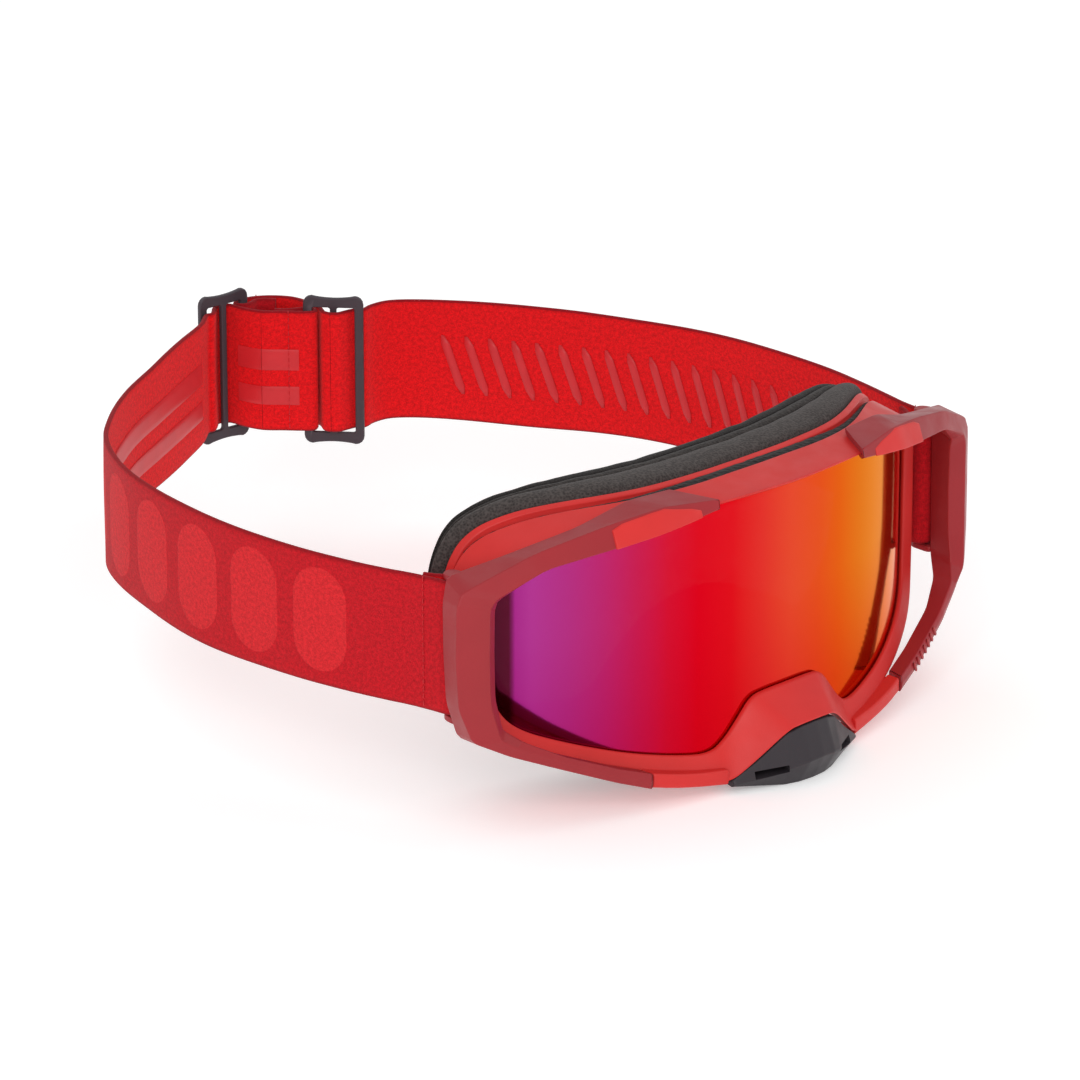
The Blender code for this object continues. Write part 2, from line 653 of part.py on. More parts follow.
def build():
    for old in list(bpy.data.objects):
        bpy.data.objects.remove(old, do_unlink=True)
    front_frame()
    face_frame()
    lens()
    lens_gasket()
    face_foam()
    vent_foam("vent_foam_brow", lambda x, z: z > 0 and abs(x) < 46)
    vent_foam("vent_foam_chin_left", lambda x, z: z < -30 and -50 < x < -33)
    vent_foam("vent_foam_chin_right", lambda x, z: z < -30 and 33 < x < 50)
    nose_guard()
    outrigger(1, "outrigger_right")
    outrigger(-1, "outrigger_left")
    rod(1, "strap_post_right", POST_RADIUS, POST_REACH)
    rod(-1, "strap_post_left", POST_RADIUS, POST_REACH)
    strap()
    stand_on_floor()


build()
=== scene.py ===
"""Looks of the off-road goggles: moulded frame and outriggers with softened
facets, mirrored lens, foam, woven strap halves with folds and stitching,
and bar sliders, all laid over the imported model.

Sizes are in millimetres about the middle of the strap's height, as in the
part's own layout, and to_row() turns them into the row frame in metres.
"""
from math import cos, pi, radians, sin, sqrt

import bmesh
import bpy
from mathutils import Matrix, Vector, noise


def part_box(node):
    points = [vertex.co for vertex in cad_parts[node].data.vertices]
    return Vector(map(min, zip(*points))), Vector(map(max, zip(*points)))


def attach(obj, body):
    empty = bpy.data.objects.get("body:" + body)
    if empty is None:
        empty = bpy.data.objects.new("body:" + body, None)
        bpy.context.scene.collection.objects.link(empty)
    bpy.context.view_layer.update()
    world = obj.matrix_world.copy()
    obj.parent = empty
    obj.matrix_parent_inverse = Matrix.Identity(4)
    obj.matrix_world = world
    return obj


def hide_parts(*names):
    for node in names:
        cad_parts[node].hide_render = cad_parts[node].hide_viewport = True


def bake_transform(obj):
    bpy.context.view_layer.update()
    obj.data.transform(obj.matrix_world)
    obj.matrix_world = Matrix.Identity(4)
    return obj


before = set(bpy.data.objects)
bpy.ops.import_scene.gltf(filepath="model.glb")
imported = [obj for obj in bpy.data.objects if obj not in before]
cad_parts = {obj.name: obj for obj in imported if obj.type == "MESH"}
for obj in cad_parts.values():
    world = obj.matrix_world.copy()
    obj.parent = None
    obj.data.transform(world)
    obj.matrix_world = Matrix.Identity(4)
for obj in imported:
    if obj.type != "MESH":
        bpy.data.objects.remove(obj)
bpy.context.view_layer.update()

# ---- layout, in millimetres -------------------------------------------------
MM = 0.001
ARC_CENTRE_Y = 96.0
FRONT_RADIUS = 126.0
LENS_RADIUS = 122.0
LENS_THICK = 1.5
GASKET_THICK = 1.2
GAP = 0.35
FLANGE_THICK = 2.6
STRAP_WIDTH = 38.0
STRAP_HALF = STRAP_WIDTH / 2
STRAP_THICK = 1.4
SLIDER_PITCH = 7.8
SLIDER_BAR = 2.0
SLIDER_THICK = 1.6
SLIDER_HEIGHT = 47.0
SIDE_BAR_HALF = 1.35          # half the width of a slider's side bar
SLIDER_LEFT = Vector((20.5, 224.3))
SLIDER_RIGHT = Vector((41.8, 198.3))
SLIDER_LEFT_DIR = Vector((0.9976, -0.0698))
SLIDER_RIGHT_DIR = Vector((0.6296, -0.7769))
GUARD_LOWEST = -52.6
SIDES = ((-1, "left"), (1, "right"))

# Half profiles, from the top middle round to the bottom middle: x, z and,
# where it isn't zero, how far the point stands in front of its surface.
OPENING = [
    (0, 31.4), (14, 31.4), (28, 30.9), (44, 29.3), (60, 27.0), (71, 24.2), (79, 20.2), (83, 12),
    (84, 0), (83.8, -12), (82.5, -20.2), (78.2, -26.8), (67, -31.6), (52, -36.6), (38, -39.8),
    (27.6, -41.4), (22.6, -38.0), (18.2, -32.8), (13.8, -27.6), (8, -26.9), (0, -26.8)]
FRONT_EDGE = [
    (0, 32.9), (14, 32.9), (28, 32.3), (44, 30.7), (60.3, 28.6), (72, 26.2), (81.6, 22.4),
    (86.8, 13, 0.3), (88.2, 0, 0.6), (88.0, -12.5, 0.6), (86.6, -22.6, 0.3), (81.4, -31.0),
    (68, -36.0, -0.3), (53, -40.6, -0.2), (38.5, -44.4), (29.6, -46.8, 1.2), (26.0, -49.6, 2.4),
    (18, -43.4, 4.6), (9.4, -36.2, 7.2), (5, -35.6, 7.6), (0, -35.4, 7.8)]
BACK_EDGE = [
    (0, 34.4), (14, 34.4), (30, 34.0), (45, 33.2), (59, 31.8), (71.5, 29.2), (81.6, 24.6),
    (87.2, 15), (88.6, 2), (88.3, -12), (86.6, -23.5), (81.6, -32), (69, -37.8), (54, -42.2),
    (40, -44.8), (30, -45.8), (24, -43), (18, -37.5), (12, -33), (7, -31.4), (0, -31)]
FACE_EDGE = [
    (0, 33.6), (14, 33.6), (30, 33.8), (45, 33.8), (58, 33.0), (70, 31.0), (80, 26.6),
    (85.6, 17), (86.8, 4), (86.2, -10), (83.5, -21), (79, -30), (70, -35.8), (57, -39.4),
    (43, -41.4), (33, -41.6), (26, -39), (20, -32), (14, -25.5), (8, -21.5), (0, -20)]
FACE_HOLE = [
    (0, 24.5), (14, 24.5), (28, 24.2), (41, 23.4), (53, 21.6), (63, 18.6), (70, 14), (74, 8),
    (75.5, 1), (75, -8), (73, -17), (68.5, -24), (61, -28.4), (51, -31), (42, -31.8),
    (37, -30.6), (33, -27), (27, -19.5), (19.5, -13.5), (10.5, -10.2), (0, -9.2)]
# Depths along x: the flange's back, the foam's back and the vent slot's width.
FLANGE_BACK = [(0, -7.5), (20, -7.2), (36, -5.8), (45, -3.2), (55, 1.8),
               (66, 9.0), (76, 15.5), (88, 23.0)]
FOAM_BACK = [(0, 12.0), (20, 12.3), (36, 14.8), (53, 18.8), (65, 23.0),
             (74, 25.4), (88, 27.5)]
VENT_SLOT = [(0, 5.4), (24, 5.2), (40, 3.6), (52, 2.4), (62, 1.7), (90, 1.2)]
FOAM_SHARES = (0.60, 0.22, 0.18)
ARM_STATIONS = [  # inner front, front ridge, outer ridge, outer back, inner back
    ((29.2, -26.4, 30.6), (28.8, -27.9, 31.2), (28.6, -27.4, 33.8),
     (35.3, -14.7, 35.3), (35.5, -14.9, 33.6)),
    ((45.4, -24.2, 28.6), (45.0, -25.8, 29.1), (46.2, -23.6, 35.1),
     (50.0, -13.0, 35.4), (50.0, -13.0, 31.5)),
    ((61.2, -19.4, 26.0), (60.6, -20.9, 26.6), (62.0, -18.2, 32.7),
     (65.0, -8.6, 30.4), (64.0, -8.8, 28.0)),
    ((80.4, -12.0, 23.0), (80.0, -13.4, 23.6), (82.0, -11.0, 28.1),
     (83.5, -2.0, 26.2), (81.0, -2.0, 23.2)),
    ((91.2, -5.6, 15.6), (93.8, -8.0, 17.4), (101.2, -2.0, 19.2),
     (99.1, 6.0, 21.7), (93.2, 4.4, 19.4)),
    ((91.5, -4.8, 12.6), (95.8, -7.2, 14.6), (102.8, -1.8, 15.6),
     (100.9, 5.8, 14.5), (93.4, 3.9, 13.0)),
    ((91.5, -4.6, 0.0), (96.0, -7.1, 0.0), (103.1, -1.7, 0.0),
     (100.6, 5.9, 0.0), (93.6, 3.9, 0.0)),
    ((91.5, -4.9, -12.4), (95.8, -7.4, -13.0), (102.6, -2.2, -13.5),
     (100.2, 5.4, -13.5), (93.4, 3.6, -12.5)),
    ((90.6, -6.8, -21.2), (93.8, -9.2, -22.8), (99.6, -4.4, -23.2),
     (98.0, 3.4, -24.0), (92.4, 2.6, -20.8)),
    ((86.4, -11.2, -24.9), (88.2, -11.0, -26.6), (90.0, -9.4, -28.6),
     (89.6, -3.2, -28.4), (86.0, -4.4, -25.2)),
    ((76.0, -15.8, -30.6), (77.0, -16.0, -32.0), (78.0, -15.2, -33.8),
     (78.0, -9.6, -33.6), (76.4, -10.2, -30.6)),
    ((60.4, -21.2, -37.2), (60.7, -21.6, -39.4), (61.0, -21.0, -41.2),
     (61.5, -15.4, -40.9), (61.0, -15.8, -37.0)),
    ((50.5, -24.1, -40.6), (50.5, -24.4, -43.0), (50.5, -23.9, -45.2),
     (51.6, -18.4, -44.8), (51.6, -18.6, -40.4))]

# ---- view, in the same layout -------------------------------------------------
VIEW_AZIMUTH = 45.24        # the camera stands to the left of the front
VIEW_ELEVATION = 20.24
VIEW_DISTANCE = 1739.5
VIEW_RIGHT = -49.1          # how far the aim is moved across and up
VIEW_UP = 7.1
VIEW_LENS = 209.4


def layout_shift():
    """From the layout's origin to the row's, in metres."""
    lens_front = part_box("lens")[0][1]
    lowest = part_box("nose_guard")[0][2]
    return Vector((0, lens_front - (ARC_CENTRE_Y - LENS_RADIUS) * MM,
                   lowest - GUARD_LOWEST * MM))


SHIFT = layout_shift()


def to_row(point):
    return Vector(point) * MM + SHIFT


# ---- node helpers ---------------------------------------------------------------
def srgb(red, green, blue):
    """A display colour, 0 to 255, as linear light."""
    def linear(value):
        value /= 255
        return value / 12.92 if value <= 0.04045 else ((value + 0.055) / 1.055) ** 2.4
    return (linear(red), linear(green), linear(blue), 1.0)


def shade_of(colour, share):
    """The colour made darker or lighter, kept inside its range."""
    return tuple(min(1, c * share) for c in colour[:3]) + (1,)


class Surface:
    """A material under construction: nodes are added and wired by name."""

    def __init__(self, name, rough=0.5, **settings):
        self.made = bpy.data.materials.new(name)
        self.made.use_nodes = True
        self.nodes = self.made.node_tree.nodes
        self.links = self.made.node_tree.links
        self.shader = self.nodes["Principled BSDF"]
        self.shader.inputs["Roughness"].default_value = rough
        for key, value in settings.items():
            socket = key.replace("_", " ").title().replace("Ior", "IOR")
            self.shader.inputs[socket].default_value = value

    def wire(self, socket, value):
        """Link the socket to another one, or set its value."""
        if isinstance(value, bpy.types.NodeSocket):
            self.links.new(value, socket)
        else:
            socket.default_value = value

    def add(self, kind, settings=None, **inputs):
        """A node; i0, i1 and so on are inputs by number, the rest by name."""
        node = self.nodes.new(kind)
        for key, value in (settings or {}).items():
            setattr(node, key, value)
        for key, value in inputs.items():
            numbered = key[0] == "i" and key[1:].isdigit()
            self.wire(node.inputs[int(key[1:]) if numbered else key.title()], value)
        return node

    def math(self, operation, first, second=0.0, third=0.0):
        return self.add("ShaderNodeMath", {"operation": operation},
                        i0=first, i1=second, i2=third).outputs[0]

    def place(self):
        """Position in the row frame, in metres."""
        return self.add("ShaderNodeTexCoord").outputs["Object"]

    def along(self):
        """Distance along and across a strap, in millimetres."""
        flat = self.add("ShaderNodeUVMap", {"uv_map": "strap"}).outputs[0]
        parts = self.add("ShaderNodeSeparateXYZ", i0=flat)
        return self.math("MULTIPLY", parts.outputs[0], 1000.0), \
            self.math("MULTIPLY", parts.outputs[1], 1000.0)

    def noise(self, scale, detail=3.0, where=None, rough=0.5):
        return self.add("ShaderNodeTexNoise", vector=where or self.place(), scale=scale,
                        detail=detail, roughness=rough).outputs["Fac"]

    def ramp(self, factor, stops):
        node = self.add("ShaderNodeValToRGB", i0=factor)
        marks = node.color_ramp.elements
        while len(marks) < len(stops):
            marks.new(0.5)
        for mark, (spot, colour) in zip(marks, stops):
            mark.position = spot
            mark.color = colour
        return node.outputs["Color"]

    def mix(self, factor, first, second):
        node = self.add("ShaderNodeMix", {"data_type": "RGBA"})
        for index, value in ((0, factor), (6, first), (7, second)):
            self.wire(node.inputs[index], value)
        return node.outputs[2]

    def span(self, value, low, high, to_low=0.0, to_high=1.0):
        return self.add("ShaderNodeMapRange", i0=value, i1=low, i2=high,
                        i3=to_low, i4=to_high).outputs[0]

    def finish(self, colour=None, rough=None, bumps=()):
        """Wire the colour, the roughness and a chain of (height, strength,
        distance) bumps."""
        if colour is not None:
            self.links.new(colour, self.shader.inputs["Base Color"])
        if rough is not None:
            self.links.new(rough, self.shader.inputs["Roughness"])
        normal = None
        for height, strength, distance in bumps:
            node = self.add("ShaderNodeBump", strength=strength, distance=distance,
                            height=height)
            if normal is not None:
                self.links.new(normal, node.inputs["Normal"])
            normal = node.outputs[0]
        if normal is not None:
            self.links.new(normal, self.shader.inputs["Normal"])
        return self.made


# ---- materials --------------------------------------------------------------------
def moulded(name, colour, worn, rough=0.42):
    """Satin moulded plastic: spark-eroded grain, faint mottling, edges that
    handling has polished a shade lighter."""
    s = Surface(name, rough, ior=1.45, specular_ior_level=0.3)
    cloud = s.noise(60.0, 4.0)
    base = s.ramp(cloud, [(0.25, shade_of(colour, 0.92)), (0.75, shade_of(colour, 1.06))])
    point = s.add("ShaderNodeNewGeometry").outputs["Pointiness"]
    scuffs = s.math("MULTIPLY", s.span(point, 0.53, 0.62),
                    s.span(s.noise(220.0, 2.0), 0.35, 0.7))
    shade = s.mix(s.math("MULTIPLY", scuffs, 0.55), base, worn)
    spread = s.span(s.noise(140.0, 3.0), 0.3, 0.7, rough - 0.05, rough + 0.08)
    return s.finish(shade, spread, [(s.noise(2600.0, 2.0), 0.22, 0.00012),
                                    (s.noise(90.0, 2.0), 0.05, 0.0006)])


def mirror_coat():
    """The lens: a coating whose colour runs across the lens, violet through red to gold, fixed to
    the lens by position: partly the coating's own tint and partly a painted reflection, since a
    mirror coat's colour moves with the view. It deepens at both ends, the dark band at the left
    end being a painted reflection, and it is deeper towards the bottom."""
    s = Surface("lens_mirror", 0.10, metallic=1.0, alpha=0.94,
                specular_tint=(1.0, 0.62, 0.5, 1.0))
    parts = s.add("ShaderNodeSeparateXYZ", i0=s.place())
    half = 84
    across = s.span(parts.outputs[0], -half * MM, half * MM)
    # Position across the lens in mm, and the colour there. The stops at -84 and -78.4 are a
    # painted reflection, a dark band at the left end; the run from violet to gold is the coating's
    # tint with a painted reflection in it.
    stops = [(-84, (66, 12, 30)), (-78.4, (84, 16, 40)), (-77.6, (158, 38, 128)),
             (-74, (168, 50, 136)), (-66, (170, 44, 122)), (-58, (178, 36, 104)),
             (-49, (190, 26, 76)), (-40, (204, 16, 46)), (-31, (212, 4, 26)),
             (-20, (216, 14, 26)), (-10, (218, 44, 38)), (2, (222, 70, 42)),
             (14, (222, 78, 30)), (24, (222, 94, 24)), (36, (220, 120, 30)),
             (50, (226, 144, 43)), (66, (238, 168, 58)), (79, (226, 146, 48)),
             (84, (160, 50, 18))]
    shade = s.ramp(across, [((x + half) / (2 * half), srgb(*tint)) for x, tint in stops])
    # The colour deepens towards the bottom of the lens.
    depth = s.span(parts.outputs[2], 0.020, 0.052)
    deeper = s.mix(s.math("SUBTRACT", 1.0, depth), shade, s.ramp(across, [
        ((x + half) / (2 * half), srgb(tint[0] * 0.98, tint[1] * 0.72, tint[2] * 0.92))
        for x, tint in stops]))
    ripple = s.noise(9.0, 1.0)
    return s.finish(deeper, None, [(ripple, 0.03, 0.002)])


def sponge(name, dark, light, cells, depth):
    """Open-cell foam: small pits, with the skin between them lighter."""
    s = Surface(name, 0.95, specular_ior_level=0.15, sheen_weight=0.08)
    pits = s.add("ShaderNodeTexVoronoi", vector=s.place(), scale=cells).outputs["Distance"]
    grain = s.noise(cells * 0.7, 4.0)
    both = s.math("MULTIPLY_ADD", pits, 0.6, s.math("MULTIPLY", grain, 0.5))
    shade = s.ramp(both, [(0.25, dark), (0.75, light)])
    return s.finish(shade, None, [(both, 0.55, depth), (s.noise(45.0, 2.0), 0.12, 0.002)])


def woven(name, ground, thread, patterned):
    """Elastic webbing: cords along its length crossed by a fine weft, with a
    two-tone jacquard of plain upright pills where patterned."""
    s = Surface(name, 0.85, specular_ior_level=0.15, sheen_weight=0.05)
    run, rise = s.along()
    cord_pitch, weft_pitch = 0.62, 0.5
    cords = s.math("SINE", s.math("MULTIPLY", rise, 2 * pi / cord_pitch))
    weft = s.math("SINE", s.math("MULTIPLY_ADD", run, 2 * pi / weft_pitch,
                                 s.math("MULTIPLY", rise, 2 * pi / (2 * cord_pitch))))
    cloth = s.math("MULTIPLY_ADD", s.math("MULTIPLY", cords, weft), 0.5, 0.5)
    flat = s.add("ShaderNodeCombineXYZ", i0=run, i1=rise).outputs[0]
    fleck = s.math("MULTIPLY_ADD", s.noise(2.3, 3.0, flat, 0.7), 0.5,
                   s.math("MULTIPLY", s.noise(0.9, 3.0, flat, 0.6), 0.5))
    shade = s.ramp(fleck, [(0.40, shade_of(ground, 0.74)), (0.60, shade_of(ground, 1.20))])
    bumps = [(cloth, 0.4, 0.0002), (fleck, 0.2, 0.0002),
             (s.noise(0.09, 2.0, flat), 0.12, 0.0016)]
    if patterned:
        mask = jacquard(s, run, rise)
        lifted = s.ramp(fleck, [(0.40, shade_of(thread, 0.76)), (0.60, shade_of(thread, 1.18))])
        shade = s.mix(mask, shade, lifted)
        bumps.append((mask, 0.35, 0.00022))
    edge = s.span(s.math("ABSOLUTE", rise), STRAP_HALF - 1.3, STRAP_HALF - 0.4)
    shade = s.mix(s.math("MULTIPLY", edge, 0.45), shade, shade_of(ground, 0.45))
    return s.finish(shade, None, bumps)


def jacquard(s, run, rise):
    """Mask of the woven pattern: a plain row of upright pills, starting past
    the plain stretch at the outrigger."""
    pitch, half_length, radius, plain, blur = 24.0, 6.0, 9.0, 48.0, 0.15
    aside = s.math("SUBTRACT", s.math("FLOORED_MODULO", run, pitch), pitch / 2)
    over = s.math("MAXIMUM", s.math("SUBTRACT", s.math("ABSOLUTE", rise), half_length), 0.0)
    reach = s.math("SQRT", s.math("ADD", s.math("POWER", over, 2.0),
                                  s.math("POWER", s.math("ABSOLUTE", aside), 2.0)))
    pill = s.span(reach, radius + blur, radius - blur)
    return s.math("MULTIPLY", pill, s.span(run, plain - 0.2, plain + 0.2))


def silicone(name, colour):
    """Soft rubber print, also used for the waxed stitching thread."""
    s = Surface(name, 0.42, ior=1.43, specular_ior_level=0.4)
    cloud = s.noise(180.0, 3.0)
    shade = s.ramp(cloud, [(0.3, shade_of(colour, 0.9)), (0.7, colour)])
    return s.finish(shade, None, [(s.noise(1500.0, 2.0), 0.25, 0.0001)])


def make_materials():
    red = srgb(203, 44, 42)
    dark = srgb(150, 38, 44)
    charcoal = srgb(52, 47, 51)
    return {
        "red": moulded("frame_red", red, srgb(228, 96, 92)),
        "dark_red": moulded("outrigger_dark_red", dark, srgb(200, 98, 96), 0.40),
        "lens": mirror_coat(),
        "rubber": moulded("gasket_black", srgb(30, 29, 31), srgb(60, 58, 60), 0.6),
        "foam": sponge("foam_grey", srgb(42, 38, 37), srgb(78, 71, 69), 1500.0, 0.0004),
        "foam_dark": sponge("foam_dark", srgb(28, 25, 24), srgb(60, 54, 52), 1300.0, 0.0004),
        "fleece": sponge("foam_fleece", srgb(20, 18, 18), srgb(48, 44, 43), 2200.0, 0.0003),
        "vent": sponge("vent_foam", srgb(12, 11, 11), srgb(40, 36, 35), 700.0, 0.0008),
        "charcoal": moulded("guard_charcoal", charcoal, srgb(120, 108, 116), 0.45),
        "slider": moulded("slider_charcoal", srgb(66, 58, 64), srgb(124, 112, 118), 0.42),
        "web_out": woven("webbing_outer", srgb(184, 16, 28), srgb(203, 34, 40), True),
        "web_in": woven("webbing_inner", srgb(222, 18, 24), srgb(222, 18, 24), False),
        "web_edge": woven("webbing_edge", srgb(168, 14, 28), srgb(168, 14, 28), False),
        "silicone": silicone("silicone_red", srgb(206, 42, 48)),
        "thread": silicone("stitch_thread", srgb(196, 28, 36)),
    }


# ---- geometry helpers ------------------------------------------------------------
def lerp_table(table, x):
    x = min(abs(x), table[-1][0])
    for (x0, v0), (x1, v1) in zip(table, table[1:]):
        if x <= x1:
            return v0 + (v1 - v0) * (x - x0) / (x1 - x0)
    return table[-1][1]


def soft_table(table, x, reach=6.0):
    steps = (-1.0, -0.5, 0.0, 0.5, 1.0)
    return sum(lerp_table(table, x + reach * s) for s in steps) / len(steps)


def arc_y(x, radius):
    return ARC_CENTRE_Y - sqrt(radius ** 2 - min(abs(x), radius - 1) ** 2)


def front_y(x):
    return arc_y(x, FRONT_RADIUS)


def rim_y(x):
    """Inner front edge of the frame, which slopes back almost to the lens."""
    return lip_y(x) - 1.2


def lip_y(x):
    return arc_y(x, LENS_RADIUS + GAP)


def flange_y(x):
    return soft_table(FLANGE_BACK, x)


def frame_back_y(x):
    return flange_y(x) - FLANGE_THICK - soft_table(VENT_SLOT, x, 4.0)


def outline(half, passes=3):
    """A whole ring from a half profile, with its corners cut round."""
    half = [(*p, 0)[:3] for p in half]
    points = half + [(-x, z, d) for x, z, d in reversed(half[1:-1])]
    for _ in range(passes):
        cut = []
        for a, b in zip(points, points[1:] + points[:1]):
            cut.append(tuple(p * 0.75 + q * 0.25 for p, q in zip(a, b)))
            cut.append(tuple(p * 0.25 + q * 0.75 for p, q in zip(a, b)))
        points = cut
    return points


def grow(points, amount):
    """The ring moved outward in its own plane."""
    grown = []
    count = len(points)
    for i, (x, z, d) in enumerate(points):
        before = points[i - 1]
        after = points[(i + 1) % count]
        along = Vector((after[0] - before[0], after[1] - before[1])).normalized()
        grown.append((x - along.y * amount, z + along.x * amount, d))
    return grown


def loop(points, depth):
    return [Vector((x, depth(x) - d, z)) for x, z, d in points]


def bend(corner, before, after, radius, steps):
    """Points of a rounded corner between its two neighbours."""
    to_a = before - corner
    to_b = after - corner
    a = corner + to_a * min(0.46, radius / max(to_a.length, 1e-6))
    b = corner + to_b * min(0.46, radius / max(to_b.length, 1e-6))
    made = []
    for k in range(steps + 1):
        t = k / steps
        made.append(a * (1 - t) ** 2 + corner * 2 * t * (1 - t) + b * t * t)
    return made


def soften(loops, radii, steps=4):
    """A ring's profile with its corners rounded."""
    softened = []
    count = len(loops)
    for i, here in enumerate(loops):
        before = loops[i - 1]
        after = loops[(i + 1) % count]
        if not radii[i]:
            softened.append(here)
            continue
        rounds = [bend(p, q, r, radii[i], steps) for p, q, r in zip(here, before, after)]
        softened.extend([list(ring) for ring in zip(*rounds)])
    return softened


def round_section(section, radius, steps=3):
    points = []
    for i, corner in enumerate(section):
        points += bend(corner, section[i - 1], section[(i + 1) % len(section)], radius, steps)
    return points


def add_object(name, data):
    made = bpy.data.objects.new(name, data)
    bpy.context.scene.collection.objects.link(made)
    return made


def turn_outward(mesh):
    """Point every face away from the inside."""
    work = bmesh.new()
    work.from_mesh(mesh)
    bmesh.ops.recalc_face_normals(work, faces=work.faces)
    work.to_mesh(mesh)
    work.free()


def stands_for(node):
    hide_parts(node)


def cut_away(body, tool):
    """The body's mesh less the tool, which is used up."""
    step = body.modifiers.new("cut", "BOOLEAN")
    step.operation = "DIFFERENCE"
    step.object = tool
    bpy.context.view_layer.update()
    result = bpy.data.meshes.new_from_object(
        body.evaluated_get(bpy.context.evaluated_depsgraph_get()))
    body.modifiers.remove(step)
    bpy.data.objects.remove(tool)
    return result


def piece(name, points, faces, material, body="goggles", slots=None, uv=None, weighted=True):
    """A finished object: row-frame mesh, smooth shaded, riding on its body."""
    mesh = bpy.data.meshes.new(name)
    mesh.from_pydata([to_row(p) for p in points], [], faces)
    for one in (material if isinstance(material, list) else [material]):
        mesh.materials.append(one)
    if slots:
        mesh.polygons.foreach_set("material_index", slots)
    if uv:
        layer = mesh.uv_layers.new(name="strap")
        for spot in mesh.loops:
            layer.data[spot.index].uv = uv[spot.vertex_index]
    turn_outward(mesh)
    mesh.polygons.foreach_set("use_smooth", [True] * len(mesh.polygons))
    made = add_object(name, mesh)
    if weighted:
        fair = made.modifiers.new("fair", "WEIGHTED_NORMAL")
        fair.keep_sharp = True
        fair.weight = 80
    if body:
        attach(made, body)
    return made


def ring_faces(loops):
    count = len(loops[0])
    faces = []
    for i in range(len(loops)):
        a = i * count
        b = (i + 1) % len(loops) * count
        for j in range(count):
            k = (j + 1) % count
            faces.append((a + j, a + k, b + k, b + j))
    return faces


def ring_piece(name, loops, material, body="goggles", weighted=True):
    return piece(name, [p for one in loops for p in one], ring_faces(loops), material,
                 body, weighted=weighted)


def skin_faces(sections):
    """Sides between sections, and fans that close both ends."""
    count = len(sections[0])
    faces = []
    for i in range(len(sections) - 1):
        for j in range(count):
            a = i * count + j
            b = i * count + (j + 1) % count
            faces.append((a, b, b + count, a + count))
    last = (len(sections) - 1) * count
    faces.append(tuple(range(count)))
    faces.append(tuple(range(last, last + count)))
    return faces


def round_ends(sections, radius):
    """Draw both ends in a little, so that their rims catch the light."""
    def cap(edge, inner):
        middle = sum(edge, Vector()) / len(edge)
        inward = (sum(inner, Vector()) / len(inner) - middle).normalized()
        size = max((p - middle).length for p in edge)
        rings = []
        for t in (0.0, 0.35, 0.7):
            shrink = 1 - radius / size * (1 - sin(pi / 2 * t / 0.7 if t < 0.7 else pi / 2))
            rings.append([middle + (p - middle) * shrink + inward * radius * t for p in edge])
        return rings
    first = cap(sections[0], sections[1])
    last = cap(sections[-1], sections[-2])
    return first + sections[1:-1] + list(reversed(last))


def skin_piece(name, sections, material, body="goggles", end_radius=0.5):
    sections = round_ends(sections, end_radius)
    return piece(name, [p for one in sections for p in one], skin_faces(sections),
                 material, body)


def ease(points, cut, passes=2):
    """Soften the bends of an open run of points and keep its straights."""
    for _ in range(passes):
        eased = [points[0]]
        for a, b in zip(points, points[1:]):
            eased += [a.lerp(b, cut), a.lerp(b, 1 - cut)]
        points = eased + [points[-1]]
    return points


def ease_along(sections, cut=0.2):
    """The sections with the long edges between them eased."""
    rails = [ease(list(rail), cut) for rail in zip(*sections)]
    return [list(section) for section in zip(*rails)]


# ---- the mask --------------------------------------------------------------------
def front_shell(mats):
    hole = outline(OPENING)
    back = outline(BACK_EDGE)
    loops = [loop(hole, rim_y),
             loop(outline(FRONT_EDGE), front_y),
             loop(back, frame_back_y),
             loop(grow(back, -2.0), frame_back_y),
             loop(grow(hole, 1.2), lip_y),
             loop(hole, lip_y)]
    shell = ring_piece("frame_shell", soften(loops, (0.8, 1.1, 0.7, 0.5, 0, 0.3)), mats["red"])
    stands_for("front_frame")
    for side, word in SIDES:
        lower_bar(side, "frame_lower_bar_" + word, mats)
        brow_lug(side, "frame_brow_lug_" + word, mats)


def lower_bar(side, name, mats):
    stations = [(25.8, -29.4, -23.5, -49.7, -45.0), (35.0, -27.9, -22.4, -48.2, -43.9),
                (43.0, -26.2, -20.6, -46.7, -42.3), (50.0, -24.0, -19.4, -45.1, -40.7)]
    rows = []
    for x, near, far, low, high in stations:
        rows.append([Vector((side * x, near, low + 0.6)), Vector((side * x, near + 0.8, low)),
                     Vector((side * x, far, low)), Vector((side * x, far, high)),
                     Vector((side * x, near, high))])
    made = skin_piece(name, [round_section(s, 0.8) for s in ease_along(rows)], mats["red"],
                      end_radius=0.4)
    stands_for("front_frame")


def brow_lug(side, name, mats):
    """The bright lug that fills the notch in the top arm, a hair proud."""
    stations = [(34.9, -27.5, 30.1, 32.3), (38.0, -27.2, 29.7, 33.2), (46.3, -26.1, 28.7, 34.7),
                (50.0, -25.0, 28.0, 34.2), (58.5, -22.2, 26.7, 32.6), (61.5, -21.2, 26.2, 31.3)]
    sections = []
    for x, near, low, top in stations:
        lean = 0.37 * (top - low)
        sections.append(round_section([
            Vector((side * x, near, low)), Vector((side * x, near + lean, top)),
            Vector((side * x, near + lean + 3.6, top + 0.1)),
            Vector((side * x, near + lean + 3.6, low + 0.6))], 0.5))
    made = skin_piece(name, sections, mats["red"], end_radius=0.3)
    stands_for("front_frame")


